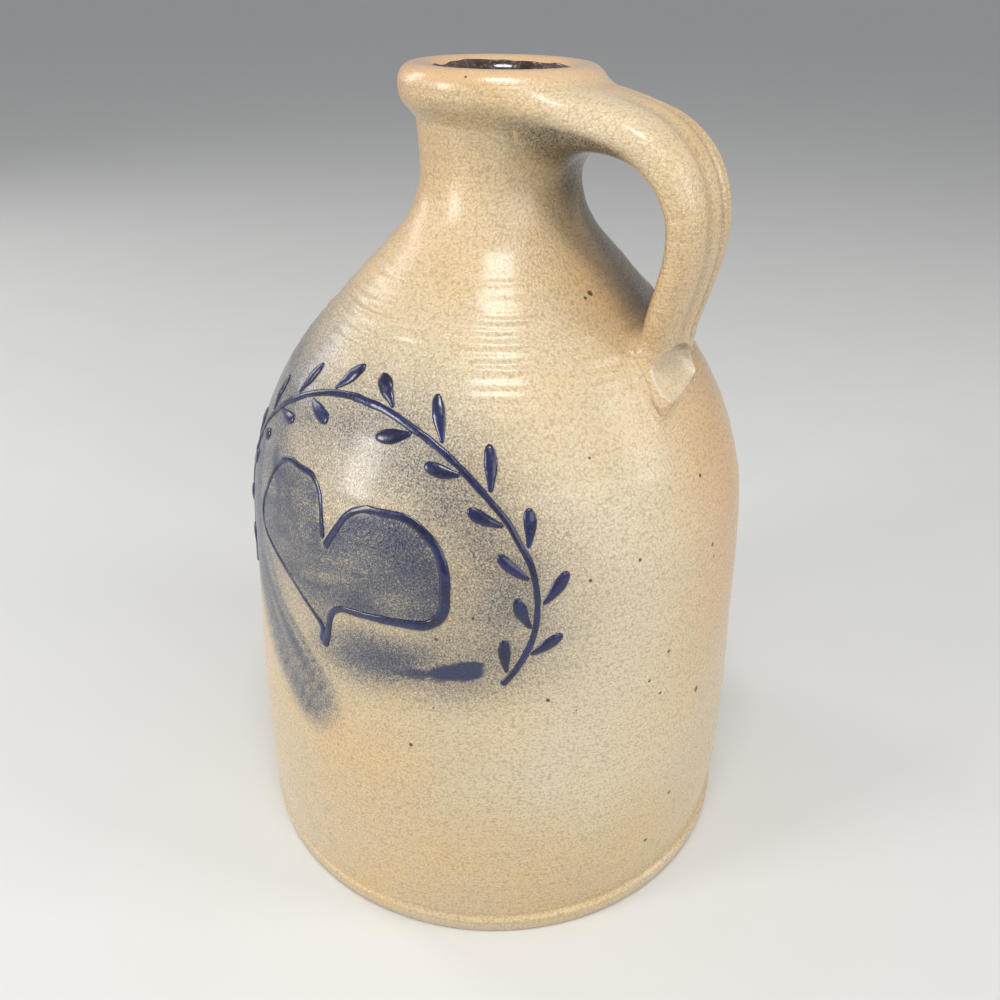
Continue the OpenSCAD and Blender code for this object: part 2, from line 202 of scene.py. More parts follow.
# %% Outline
def rounded(corners, step=np.radians(3)):
    """A line through (across, up, radius) corners, with each corner replaced by its arc."""
    corners = np.array(corners, float)
    line = [corners[:1, :2]]
    for before, here, after in zip(corners[:-2], corners[1:-1], corners[2:]):
        to_before, to_after = before[:2] - here[:2], after[:2] - here[:2]
        to_before, to_after = to_before / np.hypot(*to_before), to_after / np.hypot(*to_after)
        half = np.arccos(np.clip(to_before @ to_after, -1, 1)) / 2
        middle = to_before + to_after
        centre = here[:2] + middle / np.hypot(*middle) * here[2] / np.sin(half)
        spoke = here[:2] + to_before * here[2] / np.tan(half) - centre
        sign = -1 if to_before[0] * to_after[1] > to_before[1] * to_after[0] else 1
        sweep = np.pi - 2 * half
        turn = np.linspace(0, sign * sweep, max(2, int(np.ceil(sweep / step))))
        cos, sin = np.cos(turn), np.sin(turn)
        arc = np.stack([spoke[0] * cos - spoke[1] * sin, spoke[0] * sin + spoke[1] * cos], -1)
        line.append(centre + arc)
    line.append(corners[-1:, :2])
    return np.concatenate(line)


def runs_of(line):
    """Distance run along a line, at each of its points."""
    return np.concatenate([[0], np.cumsum(np.linalg.norm(np.diff(line, axis=0), axis=1))])


def spread(line, gap_at):
    """Points along a line with the spacing that gap_at asks for at each point."""
    fine = np.linspace(0, runs_of(line)[-1], 6000)
    points = np.stack([np.interp(fine, runs_of(line), line[:, k]) for k in range(2)], -1)
    measure = np.concatenate([[0], np.cumsum(np.diff(fine) / gap_at(points)[1:])])
    wanted = np.linspace(0, measure[-1], int(np.ceil(measure[-1])))
    return np.stack([np.interp(wanted, measure, points[:, k]) for k in range(2)], -1)


rim_r, crest_r, throat_r = 30.35, 24.9, 17.55
shoulder = (83.05, 164.9)
neck = (23.75, 227.9)
foot_h = 6.5
outside_corners = [
    (belly_r - 1.2, 0, 0), (belly_r, 4, 1.2), (belly_r, 52, 250), (*shoulder, 101), (*neck, 29.5),
    (25.25, 252.2, 1.2), (rim_r, 257.6, 7.4), (rim_r, jug_h, 5), (crest_r, jug_h, 0),
]
inside_corners = [
    (crest_r, jug_h, 0), (throat_r, jug_h, 7), (throat_r, 225.7, 20), (77.17, 162.4, 95),
    (82.9, 51.8, 244), (82.9, 8, 12), (0, 8, 0),
]
outside, inside = rounded(outside_corners), rounded(inside_corners)
clay_line = np.concatenate([[[0, 0]], outside, inside[1:]])
print("outline of", len(clay_line), "points,", round(runs_of(clay_line)[-1]), "mm round")

# %% [markdown]
# ## Throwing marks and the trimmed foot
# Fingers leave a rising spiral of rings, strongest on the upper shoulder where the clay was
# collared in. The foot was trimmed with a tool that stepped the wall back over a narrow band,
# deeper on one side than on the other. Both are a height above or below the plain outline.


# %% Marks in the clay
def thrown_marks(z, turn):
    """Rings: smooth bumps along a slow spiral, scaled by how marked each zone of the jug is."""
    round_share = turn / (2 * np.pi)
    climb = z - 4 * round_share
    coarse = waves(round_share * 9, climb / 2.6, 11, around=9)
    fine = waves(round_share * 14, climb / 1.25, 12, around=14)
    slow = waves(round_share * 4, climb / 13, 13, around=4)
    collar = bell(z, 201, 12)
    belly = fade(z, 12, 30) * fade(z, 185, 150)
    neck_zone = fade(z, 215, 228) * fade(z, 258, 250)
    ridge = np.sin(2 * np.pi * climb / 2.7 + 1.6 * waves(round_share * 6, climb / 9, 15, around=6))
    rings = collar * (0.2 * coarse + 0.2 * fine + (0.13 + 0.1 * coarse) * ridge)
    shoulder_zone = bell(z, 168, 22)
    faint = shoulder_zone * (0.1 * coarse + 0.06 * fine)
    return rings + faint + belly * (0.16 * slow + 0.05 * coarse) + neck_zone * 0.1 * coarse


STEP_DEEP, STEP_H, LIP = 1.3, 0.9, 0.3  # depth and height of the trimmed step, and its raised lip
STEP_TURN = -np.pi / 9  # the side on which the tool cut deepest


def foot_step(z, turn):
    """The wall steps back above the foot band and swells out again. Depth and edge wander."""
    deep = 0.25 + 0.75 * bell((turn - STEP_TURN + np.pi) % (2 * np.pi), np.pi, 1.05)
    wander = waves(turn / (2 * np.pi) * 24, 0.5, 14, around=24)
    edge = foot_h + 0.6 * wander
    lip = LIP * bell(z, edge - 0.4, 0.8)
    cut = (STEP_DEEP + 0.15 * wander) * fade(z, edge, edge + STEP_H) * fade(z, 28, 9)
    return deep * (lip - cut)


def marks(z, turn):
    """Height of the rings and of the foot's step above the plain outline."""
    return thrown_marks(z, turn) + foot_step(z, turn)


print("rings stand", thrown_marks(np.linspace(180, 220, 400), 0.0).max().round(2), "mm proud")

# %% [markdown]
# ## How far a point is from the clay
# To let the handle grow out of the body, both are also written as a distance: negative inside,
# zero on the surface. For the body it is worked out once on a fine flat grid of radius and
# height, by the nearest segment of the outline, and read back from there by interpolation.


# %% Distance to the body
FIELD_STEP = 0.4
field_r = np.arange(0, 110, FIELD_STEP)
field_z = np.arange(-10, jug_h + 25, FIELD_STEP)


def outline_distance(line, across, up):
    """Distance to a closed outline, negative inside, found by crossings of a level ray."""
    nearest = np.full(np.broadcast(across, up).shape, 1e9)
    inner = np.zeros(nearest.shape, bool)
    for start, end in zip(line, np.roll(line, -1, axis=0)):
        side = end - start
        length = side @ side
        if length == 0:
            continue
        share = np.clip(((across - start[0]) * side[0] + (up - start[1]) * side[1]) / length, 0, 1)
        nearest = np.minimum(
            nearest, np.hypot(across - start[0] - share * side[0], up - start[1] - share * side[1])
        )
        if side[1] != 0:
            spans = (start[1] > up) != (end[1] > up)
            inner ^= spans & (across < start[0] + (up - start[1]) * side[0] / side[1])
    return np.where(inner, -nearest, nearest)


body_grid = outline_distance(clay_line, field_r[:, None], field_z[None, :])


def body_distance(points):
    """Distance of points from the body's clay, with its marks, in millimetres."""
    r, turn = np.hypot(points[:, 0], points[:, 1]), np.arctan2(points[:, 1], points[:, 0])
    i = np.clip(r / FIELD_STEP, 0, len(field_r) - 2.001)
    j = np.clip((points[:, 2] - field_z[0]) / FIELD_STEP, 0, len(field_z) - 2.001)
    i0, j0 = i.astype(int), j.astype(int)
    s, t = i - i0, j - j0
    low = body_grid[i0, j0] * (1 - s) + body_grid[i0 + 1, j0] * s
    high = body_grid[i0, j0 + 1] * (1 - s) + body_grid[i0 + 1, j0 + 1] * s
    outer = fade(r, 19, 22)
    return low * (1 - t) + high * t - outer * marks(points[:, 2], turn)


print("field", body_grid.shape, "from", body_grid.min().round(1), "to", body_grid.max().round(1))

# %% [markdown]
# ## The strap handle
# A pulled handle is an oval strap that tapers, bent over by its own weight. Its middle line
# lies in the upright plane of the handle and leans a few degrees from top to foot. A point
# near it is described by its run along the line, its place across the strap and its height
# above the middle.

# %% Middle line of the strap
strap_corners = [
    (20.4, 258.4, 0), (64.8, 249.1, 24), (66.3, 223.5, 45), (59.5, 198.3, 30),
    (59.5, 189.8, 7), (68.6, 177.5, 0),
]
LINE_STEP = 0.25
strap_raw = spread(rounded(strap_corners), lambda p: np.full(len(p), LINE_STEP))
soften = np.exp(-((np.arange(-24, 25) * LINE_STEP / 2.6) ** 2))
padded_line = np.concatenate([
    2 * strap_raw[:1] - strap_raw[24:0:-1], strap_raw, 2 * strap_raw[-1:] - strap_raw[-2:-26:-1]
])
strap_line = np.stack(
    [np.convolve(padded_line[:, k], soften / soften.sum(), mode="valid") for k in range(2)], -1
)
strap_run = runs_of(strap_line)
strap_len = strap_run[-1]
strap_way = unit(np.gradient(strap_line, strap_run, axis=0))
print(f"strap {strap_len:.1f} mm long")

# %% [markdown]
# ## The section of the strap
# Pulling clay through a wet hand gives an oval with fuller corners. That is a superellipse,
# |across|^n + |up|^n = 1 in half widths, where n = 2 would be a plain oval. It swells at the root,
# and the fingers left three grooves down its back. Functions turn a place on the strap into a
# place in space and back again, so that everything below can be said in the strap's own terms.

# %% Section of the strap
LEAN = np.radians(6.6)  # how far the strap twists round the jug's axis from its top to its foot
ROOT_LEN, PRESS_LEN = 26.0, 15.0  # lengths of the swelling at the root and of the pressed end
WIDTHS = [34.3, 29.2]  # of the strap at its root and its foot
THICKNESSES = [17.4, 11.1, 12.0]  # at its root, half way and where the pressed end begins
SECTION_POWER = 2.56
CUT_RUN = strap_len - 5.0  # the pressed end was cut off a little above the line's own end
SWAY_LEN, SWAY = 26, 6.4  # the pressed end lies this far to the jug's front, over this length


def strap_sizes(run):
    """Half width, half thickness above and below the middle, at each run along the strap."""
    root = np.clip(1 - run / ROOT_LEN, 0, 1) ** 2
    half_w = np.interp(run, [0, strap_len], WIDTHS) / 2 + 3 * root
    thick = np.interp(run, [0, strap_len / 2, strap_len - PRESS_LEN], THICKNESSES) / 2
    return half_w, thick - 3.2 * root, thick + 9 * root


def grooves(run, across):
    """Shallow grooves that the fingers drew down the outer face, and their depth."""
    share = fade(run, 14, 34) * fade(run, strap_len - 14, strap_len - 30)
    bend = 1.2 * np.sin(run / 21)
    drawn = 0.8 * bell(across, -4.0 + bend, 2.4) + 1.15 * bell(across, 4.6 + bend, 1.8)
    return share * (drawn + 1.05 * bell(across, 9.8 + 0.6 * bend, 1.4))


def line_at(run):
    """Point and direction of the middle line at each run, carried on straight past its ends."""
    at = np.stack([np.interp(run, strap_run, strap_line[:, k]) for k in range(2)], -1)
    way = np.stack([np.interp(run, strap_run, strap_way[:, k]) for k in range(2)], -1)
    return at + (run - np.clip(run, 0, strap_len))[:, None] * way, way


def sway(run):
    """The pressed end was laid a little towards the front of the jug: a sideways shift."""
    return -SWAY * fade(run, strap_len - SWAY_LEN, strap_len - 3)


def droop(run, across):
    """Pressed down, the strap's sides follow the round wall, a drop of across^2 / (2 radius),
    and it lies tilted, lower on its left side."""
    shoulder_r, tilt = 74, 0.13
    return fade(run, strap_len - 26, strap_len - 12) * (across ** 2 / (2 * shoulder_r) - tilt * across)


def strap_xyz(run, across, up):
    """Places in space for a run along the strap, a place across it and a height above it."""
    at, way = line_at(run)
    lean = LEAN * (run / strap_len - 0.5)
    up = up - droop(run, across)
    x, side = at[:, 0] - way[:, 1] * up, across + sway(run)
    z = at[:, 1] + way[:, 0] * up
    cos, sin = np.cos(lean), np.sin(lean)
    return np.stack([x * cos - side * sin, x * sin + side * cos, z], -1)


def strap_place(points):
    """Run along the strap, place across it, height above its middle, and overrun past its end."""
    turn = np.zeros(len(points))
    coarse = strap_line[::8]
    for step in range(3):
        x = points[:, 0] * np.cos(turn) + points[:, 1] * np.sin(turn)
        across = points[:, 1] * np.cos(turn) - points[:, 0] * np.sin(turn)
        flat = np.stack([x, points[:, 2]], -1)
        if step == 0:
            gaps = ((flat[:, None, :] - coarse[None]) ** 2).sum(-1)
            run = strap_run[::8][gaps.argmin(axis=1)]
        for _ in range(3):
            at, way = line_at(run)
            run = np.clip(run + ((flat - at) * way).sum(-1), 0, strap_len)
        turn = LEAN * (run / strap_len - 0.5)
    at, way = line_at(run)
    up = (flat[:, 1] - at[:, 1]) * way[:, 0] - (flat[:, 0] - at[:, 0]) * way[:, 1]
    over = run - CUT_RUN + ((flat - at) * way).sum(-1)
    across = across - sway(CUT_RUN + over)
    return run, across, up + droop(run, across), over


print("half width and thickness at mid strap:", [v.round(1) for v in strap_sizes(strap_len / 2)])

# %% [markdown]
# ## Soft unions and soft cuts
# Where two distances a and b are nearly equal, a round-bottomed smooth minimum takes a little
# more away: min(a, b) - k/4 (1 - |a - b|/k)^2. This is the fillet that a wet finger wipes round
# a joint, with k as its reach. The same with the signs turned round softens a cut edge.


# %% Soft unions
def smooth_min(a, b, reach):
    """The smaller of two distances, with the corner between them filled by a fillet."""
    return np.minimum(a, b) - reach / 4 * np.clip(1 - np.abs(a - b) / reach, 0, None) ** 2


def smooth_max(a, b, reach):
    """The larger of two distances, with the edge between them rounded off."""
    return -smooth_min(-a, -b, reach)


print("two equal distances of 1 mm join at", smooth_min(1.0, 1.0, 2.0), "mm")

# %% [markdown]
# ## The thumb's hollow and the cut end
# The potter pressed the end onto the shoulder with the thumb and cut off the rest. The thumb left
# a hollow with a round upper edge, steep at the top and running out at the cut. Its distance is
# that of a superellipsoid, set a little askew, and a smooth maximum takes it out of the strap.

# %% Distance to the strap
ROOT_R, ROOT_TOP_R = 21.5, 27.5  # the strap's root ends inside the neck's wall and the rim's bead
THUMB = dict(run=strap_len - 8.6, side=-0.6, along=12.4, across=12.8, deep=7.4, lift=8.2,
             tilt=0.09, skew=0.38)
SCOOP_EDGE, CUT_EDGE = 0.6, 1.3  # how far the hollow's edge and the cut's edge are rounded
NARROWED, THINNED = 2.7, 1.7  # what pressing took from the end's half width and thickness
WIPED_REACH, PRESSED_REACH = 12, 4.6  # fillets wiped at the root and left at the foot
PLAN_POWER, WALL_POWER = 2.15, 2.5  # above 2, a fuller oval in plan and steeper walls than an egg


def thumb_plan(run, across):
    """Place along the thumb's hollow, and its oval in plan: 1 on the edge. The skew turns it."""
    side = across - THUMB["side"]
    along = run - THUMB["run"] - THUMB["skew"] * side
    a, b = np.abs(along) / THUMB["along"] + 1e-9, np.abs(side) / THUMB["across"] + 1e-9
    return along, a, b, (a ** PLAN_POWER + b ** PLAN_POWER) ** (1 / PLAN_POWER)


def thumb_scoop(over, across, up):
    """Distance to the oval that the thumb pressed in: its size less 1, over its slope. The size
    is 1 on the oval: (plan^n + deep^n)^(1/n), where plan^m = |along|^m + |across|^m in radii."""
    along, a, b, plan = thumb_plan(CUT_RUN + over, across)
    lift = THUMB["lift"] + THUMB["tilt"] * along
    c = np.abs(up - lift) / THUMB["deep"] + 1e-9
    size = (plan ** WALL_POWER + c ** WALL_POWER) ** (1 / WALL_POWER)
    in_plan = np.hypot((a / plan) ** (PLAN_POWER - 1) / THUMB["along"],
                       (b / plan) ** (PLAN_POWER - 1) / THUMB["across"])
    slope = np.hypot((plan / size) ** (WALL_POWER - 1) * in_plan,
                     (c / size) ** (WALL_POWER - 1) / THUMB["deep"])
    return (size - 1) / (slope + 1e-9)


def scooped(run, across, up):
    """Height of the strap's top once the hollow's floor has been pressed into it."""
    along, _, _, plan = thumb_plan(run, across)
    depth = THUMB["deep"] * np.clip(1 - plan ** WALL_POWER, 0, None) ** (1 / WALL_POWER)
    floor = THUMB["lift"] + THUMB["tilt"] * along - depth
    return np.where((up > 0) & (plan < 1), np.minimum(up, floor), up)


def strap_distance(points):
    """Distance of points from the strap, in millimetres."""
    run, across, up, over = strap_place(points)
    half_w, above, below = strap_sizes(run)
    half_w = half_w - NARROWED * fade(run, strap_len - 34, strap_len - 14)
    above = above - THINNED * fade(run, strap_len - 22, strap_len - 9)
    height = np.where(up > 0, above, below)
    raised = up + np.where(up > 0, grooves(run, across), 0)
    wobble = 0.14 * waves(run / 17, across / 13 + 9, 21) + 0.05 * waves(run / 6, across / 5, 22)
    wide, tall = np.abs(across) / half_w, np.abs(raised) / height
    size = (wide ** SECTION_POWER + tall ** SECTION_POWER + 1e-12) ** (1 / SECTION_POWER)
    slope = np.hypot((wide / size) ** (SECTION_POWER - 1) / half_w,
                     (tall / size) ** (SECTION_POWER - 1) / height)
    distance = (size - 1) / (slope + 1e-9) - wobble
    distance = smooth_max(distance, -thumb_scoop(over, across, up), SCOOP_EDGE)
    slant = 0.3 * np.sin(across / 5.5) + 0.12 * across
    distance = smooth_max(distance, over + slant, CUT_EDGE)
    root_r = ROOT_R + (ROOT_TOP_R - ROOT_R) * fade(points[:, 2], 252, 261)
    return smooth_max(distance, root_r - np.hypot(points[:, 0], points[:, 1]), 1.0)


def joint_reach(points):
    """How far the wiped fillet reaches: wide beside the root, narrow on top and at the foot."""
    run, _, up, _ = strap_place(points)
    _, above, below = strap_sizes(run)
    on_top = np.clip(up / above, 0, 1)
    under = np.clip(-up / below, 0, 1)
    at_root = WIPED_REACH - 7.5 * on_top - 2.5 * under
    at_foot = PRESSED_REACH - 1.4 * on_top
    return at_root + (at_foot - at_root) * fade(run, 30, 75)


middle = strap_xyz(np.array([strap_len / 2]), np.zeros(1), np.zeros(1))
print("the strap's middle lies", -strap_distance(middle).round(1), "mm inside its skin")

# %% [markdown]
# ## Settling the skins onto the joint
# The body and the strap stay two pieces, but their skins meet on one shared surface: the soft
# union. Each skin follows it on its own side and dives below it past the meeting line, the
# body a little later than the strap, so that no gap opens. Newton's method moves the points:
# each one slides down the slope of the distance until it reads zero.

# %% Settle
PROUD = 0.015  # the strap's skin lies this far above the body's where both follow the union
LAP = (3.0, 1.3)  # how far the body's skin runs on under the strap's, at the root and the foot
DIVE_REACH = 0.6  # length over which a skin bends down under the other


def joint_field(points):
    """The soft union of the body and the strap."""
    return smooth_min(body_distance(points), strap_distance(points), joint_reach(points))


def dive(under):
    """Depth below the union: it starts level, as under^2, and goes on as a straight slope."""
    deep = np.clip(under, 0, None)
    return np.where(deep < DIVE_REACH, deep ** 2 / (2 * DIVE_REACH), deep - DIVE_REACH / 2)


def body_skin_field(points):
    """Zero on the union outside the joint. Under the strap it dives three times as steeply."""
    lap = LAP[0] + (LAP[1] - LAP[0]) * fade(points[:, 2], 235, 215)
    under = body_distance(points) - strap_distance(points) - lap
    return joint_field(points) + 3 * dive(under)


def strap_skin_field(points):
    """Zero just above the union, and below it where the strap has sunk into the body."""
    under = strap_distance(points) - body_distance(points)
    return joint_field(points) - PROUD + dive(under)


def slope_of(field, points, value):
    """How fast a field grows along x, y and z, from its value a small nudge away."""
    nudge = 0.02
    return np.stack([(field(points + nudge * e) - value) / nudge for e in np.eye(3)], -1)


def settle(points, field, steps=7):
    """Newton's method on whole arrays, with each step held to 1.5 mm."""
    for _ in range(steps):
        value = field(points)
        slope = slope_of(field, points, value)
        move = -value[:, None] * slope / (slope ** 2).sum(-1, keepdims=True)
        length = np.linalg.norm(move, axis=1, keepdims=True)
        points = points + move * np.minimum(1, 1.5 / (length + 1e-9))
    return points


def eased(grid):
    """Each point half way to the mean of its four neighbours, which undoes folds in a skin."""
    mean = sum(np.roll(grid, step, axis) for axis in (0, 1) for step in (1, -1)) / 4
    return (grid + mean) / 2


def unfold(grid, plain, loose, far, easings, field, again=None):
    """Twice: eases the loose points that lie further than far from their plain place, then
    settles them again, or all the points that again names."""
    for steps in (4, 3):
        moved = loose & (np.linalg.norm(grid - plain, axis=-1) > far)
        for _ in range(easings):
            grid[moved] = eased(grid)[moved]
        back = moved if again is None else again
        grid[back] = settle(grid[back], field, steps)


def outward_at(line):
    """Directions that point straight out of the union at points on it."""
    return unit(slope_of(joint_field, line, joint_field(line)))


print("the fillet's reach has shrunk to", joint_reach(middle).round(1), "mm by mid strap")

# %% [markdown]
# ## The thrown body
# Rows of points follow the outline, close together where the rings, the rim and the painted
# front need them. Columns run round, closer at the handle and the decoration. The marks push
# each point along the outline's own outward normal, and only points near the strap are settled.
# Where settling moved them far they are eased and settled again, so that no quad stays folded.


# %% Body skin
def row_gap(points):
    """Spacing along the outline, from the height and from whether the wall is outside."""
    heights = [0, 3, 9, 14, 30, 95, 105, 162, 170, 187, 212, 222, 250, 254, 268]
    gaps = [0.9, 0.5, 0.55, 1.6, 2.9, 2.9, 1.6, 1.5, 0.8, 0.55, 0.6, 0.9, 0.75, 0.65, 0.8]
    gap = np.interp(points[:, 1], heights, gaps)
    return np.where((points[:, 1] < 0.01) & (points[:, 0] < belly_r - 3), 9, gap)


def column_turns():
    """Azimuths of the columns, whose gaps in degrees are narrow at the handle, wider at the
    painted front and widest at the back."""
    handle_gap, front_gap, back_gap = 0.42, 1.1, 2.6
    fine = np.radians(np.linspace(-180, 180, 7201))
    degrees = np.degrees(fine)
    handle = fade(np.abs(degrees), 20, 16)
    beside = fade(np.abs(degrees + 1), 68, 60)
    front = fade(np.abs(degrees + 92), 58, 50)
    gap = back_gap + (front_gap - back_gap) * np.maximum(front, beside)
    gap += (handle_gap - gap) * handle
    measure = np.concatenate([[0], np.cumsum(np.diff(degrees) / gap[1:])])
    count = int(round(measure[-1]))
    return np.interp(np.arange(count) * measure[-1] / count, measure, fine)


outer_rows = spread(np.concatenate([[[2.0, 0]], outside]), row_gap)
inner_rows = spread(inside, lambda p: np.where(p[:, 1] > 250, 0.9, 16))[1:]
inner_rows[-1] = (2.0, inner_rows[-1, 1])
rows = np.concatenate([outer_rows, inner_rows])
way = unit(np.gradient(rows, axis=0))
normal = np.stack([way[:, 1], -way[:, 0]], -1)
turns = column_turns()
is_outside = (np.arange(len(rows)) < len(outer_rows)) & (rows[:, 1] > 0.5) & (rows[:, 0] > 23)
push = marks(rows[:, 1][:, None], turns[None, :]) * is_outside[:, None]
radius = rows[:, :1] + normal[:, :1] * push
height = rows[:, 1:] + normal[:, 1:] * push
body_points = np.stack([radius * np.cos(turns), radius * np.sin(turns), height], -1)


def beside_strap(points):
    """Which points stand near enough to the strap for it to matter."""
    return (np.hypot(points[..., 0] - 45, points[..., 1]) < 48) & (points[..., 2] > 165)


near = beside_strap(body_points)
near &= is_outside[:, None] | (rows[:, 1:] > 262)
plain_points = body_points.copy()
body_points[near] = settle(body_points[near], body_skin_field)
unfold(body_points, plain_points, near & is_outside[:, None], far=0.2, easings=4,
       field=body_skin_field, again=near)
body = closed_skin("thrown_wall", body_points)
print(near.sum(), "points of the body settled at the joints")

# %% [markdown]
# ## The pulled handle
# The strap's own grid is a ring of the section at each run along the middle line. Past the cut
# end the rings close over the end face, and the first rings lie inside the neck. The grid starts
# from a rough guess: narrower at the pressed end, and with the hollow's floor already pressed in.
# Settling brings in everything else at once: the wiped joints, the finger grooves, the edges of
# the hollow and the soft edge of the cut.

# %% Strap skin
RING = 208
ROOT_RUN = -13.0  # the strap's grid starts this far before its line, deep in the neck
PRESS_RUN, LAST_RUN = CUT_RUN - 17, CUT_RUN + 1  # where the pressed end begins, and the last ring
JOINT_RUN = 16.0  # the rings are close together up to here and again from PRESS_RUN
FINE, COARSE = 0.4, 0.8  # gaps between two rings
CAP = 10  # rings that close each end
angle = np.linspace(0, 2 * np.pi, RING, endpoint=False)
run_rows = np.concatenate([
    np.full(CAP, ROOT_RUN), np.arange(ROOT_RUN + FINE / 2, JOINT_RUN, FINE),
    np.arange(JOINT_RUN, PRESS_RUN, COARSE), np.arange(PRESS_RUN, LAST_RUN, FINE),
    np.full(CAP + 1, LAST_RUN),
])
shrink = np.concatenate([
    np.linspace(0.1, 0.98, CAP) ** 0.6, np.ones(len(run_rows) - 2 * CAP), np.linspace(0.97, 0.1, CAP)
])


def section(run, angle):
    """Place across and height on the plain section: a superellipse by its angle. The cosine and
    sine are raised to 2 / n, with their signs kept."""
    half_w, above, below = strap_sizes(run)
    soft = lambda share: np.sign(share) * np.abs(share) ** (2 / SECTION_POWER)
    height = np.where(np.sin(angle) > 0, above, below)
    return half_w * soft(np.cos(angle)), height * soft(np.sin(angle))


across, up = (place * shrink[:, None] for place in section(run_rows[:, None], angle))
runs = np.broadcast_to(run_rows[:, None], across.shape)
across[run_rows > strap_len - 24] *= 0.9  # nearer to the narrowed, pressed end
up = scooped(runs, across, up)
strap_points = strap_xyz(runs.ravel(), across.ravel(), up.ravel()).reshape(*across.shape, 3)
plain_points = strap_points.copy()
loose = np.zeros(strap_points.shape[:2], bool)
loose[1:-1] = True
strap_points[loose] = settle(strap_points[loose], strap_skin_field)
loose &= (run_rows < CUT_RUN - 15)[:, None]
unfold(strap_points, plain_points, loose, far=0.4, easings=3, field=strap_skin_field)
strap = closed_skin("strap_handle", strap_points)

# %% [markdown]
# ## The luting slip
# Slip squeezed out of the joints when the strap was pressed on. At the rim it was wiped smooth
# and hardly shows. At the foot it stayed as a rough little bead along both sides of the pressed
# end and round its inner side. Each bead is a tube of changing thickness along the line where
# body and strap meet, and that line is found by Newton's method too, with two conditions.


# %% Meeting lines
def meeting_line(starts, steps=14):
    """Moves points onto the line where both distances are equal and the union is zero, each
    time by the shortest step that meets both at once."""
    points = starts.copy()
    balance = lambda p: body_distance(p) - strap_distance(p)
    for _ in range(steps):
        values = np.stack([joint_field(points), balance(points)], -1)
        slopes = np.stack(
            [slope_of(joint_field, points, values[:, 0]), slope_of(balance, points, values[:, 1])], 1
        )
        square = slopes @ slopes.transpose(0, 2, 1) + 1e-6 * np.eye(2)
        step = -(slopes.transpose(0, 2, 1) @ np.linalg.solve(square, values[..., None]))[..., 0]
        length = np.linalg.norm(step, axis=1, keepdims=True)
        points = points + step * np.minimum(1, 1.2 / (length + 1e-9))
    return points


def tube(name, line, radius, sides=14, flatten=1.0):
    """A tube along a line on the union: as wide as the radius says, and flattened along the
    union's own normal. Its rings stand across the line's own direction."""
    way, out = unit(np.gradient(line, axis=0)), outward_at(line)
    out = unit(out - (out * way).sum(-1, keepdims=True) * way)
    side = np.cross(way, out)
    angle = np.linspace(0, 2 * np.pi, sides, endpoint=False)[None, :, None]
    ring = out[:, None] * np.cos(angle) * flatten + side[:, None] * np.sin(angle)
    return closed_skin(name, line[:, None] + ring * radius[:, None, None])


def meeting_ring(run, first, last, count):
    """The meeting line near a ring of the strap, between two angles of its section."""
    runs = np.full(count, float(run))
    return meeting_line(strap_xyz(runs, *section(runs, np.radians(np.linspace(first, last, count)))))


share = np.linspace(0, 1, 260)
root_line = meeting_ring(9, -78, -282, len(share))
print("the joint at the root is", runs_of(root_line)[-1].round(), "mm long")

# %% [markdown]
# ## Wiped and pressed slip
# The bead at the root was wiped flat, so it is sunk and flattened until only a smear shows. The
# bead at the foot is rough: its radius is a sum of bumps, heaped up in three places.

# %% Beads of slip
root_bead = 0.9 + 0.25 * waves(share * 23, 0.5, 31)
root_bead *= np.sin(np.pi * np.clip(share, 0.02, 0.98)) ** 0.3
upper_slip = tube("wiped_slip", root_line - 0.23 * outward_at(root_line), root_bead, flatten=0.16)

edge = strap_sizes(np.array([strap_len]))[0][0] - NARROWED
down = np.linspace(CUT_RUN - 16, CUT_RUN - 1, 120)
wide = np.cos(np.linspace(0, np.pi, 90)) * (edge - 0.5)
foot_line = meeting_line(np.concatenate([
    strap_xyz(down, np.full_like(down, edge + 0.5), np.zeros_like(down)),
    strap_xyz(CUT_RUN + 0.6 - 0.12 * wide, wide * 1.05 - 0.8, np.full_like(wide, 0.6)),
    strap_xyz(down[::-1], np.full_like(down, -edge), np.zeros_like(down)),
]))
keep = np.concatenate([[True], np.linalg.norm(np.diff(foot_line, axis=0), axis=1) > 0.05])
foot_line = foot_line[keep]
run = runs_of(foot_line) / runs_of(foot_line)[-1]
rough = waves(run * 62, 0.5, 32) + 0.8 * waves(run * 150, 0.5, 33)
heaps = ((0.66, 0.5), (0.76, 0.45), (0.36, 0.4))  # place along the bead, and height of each heap
heap = 0.45 + sum(high * bell(run, at, 0.06) for at, high in heaps)
foot_bead = (0.3 + 0.32 * rough) * heap
outer_bead = tube("pressed_slip_0", foot_line, np.clip(foot_bead, 0.05, None))

inner_line = meeting_ring(strap_len - 24, -2, -178, 120)
ends = np.sin(np.pi * np.linspace(0.03, 0.97, len(inner_line))) ** 0.4
inner_bead = tube("pressed_slip_1", inner_line - 0.45 * outward_at(inner_line), 0.75 * ends)
lower_slip = joined("pressed_slip", [outer_bead, inner_bead])

# %% [markdown]
# ## The lining glaze
# A dark slip glaze was poured in, swirled and poured out. It runs from just below the crest to
# the floor and ends in an uneven edge. It is a thin shell: down the open side to the middle of
# the floor and back up against the clay, thinning out to nothing at its edge.


# %% Lining
GLAZE = 0.45  # thickness of the glaze on the clay
BACK, EDGE_BACK = 0.75, 0.07  # how far the back lies behind the open side, in general and at the edge


def glaze_side(depth):
    """The inside outline, moved off the clay by a depth, from the crest down to the floor."""
    line = spread(inside, lambda p: np.where(p[:, 1] > 228, 0.8, 7))
    way = unit(np.gradient(line, axis=0))
    return line + np.stack([way[:, 1], -way[:, 0]], -1) * depth


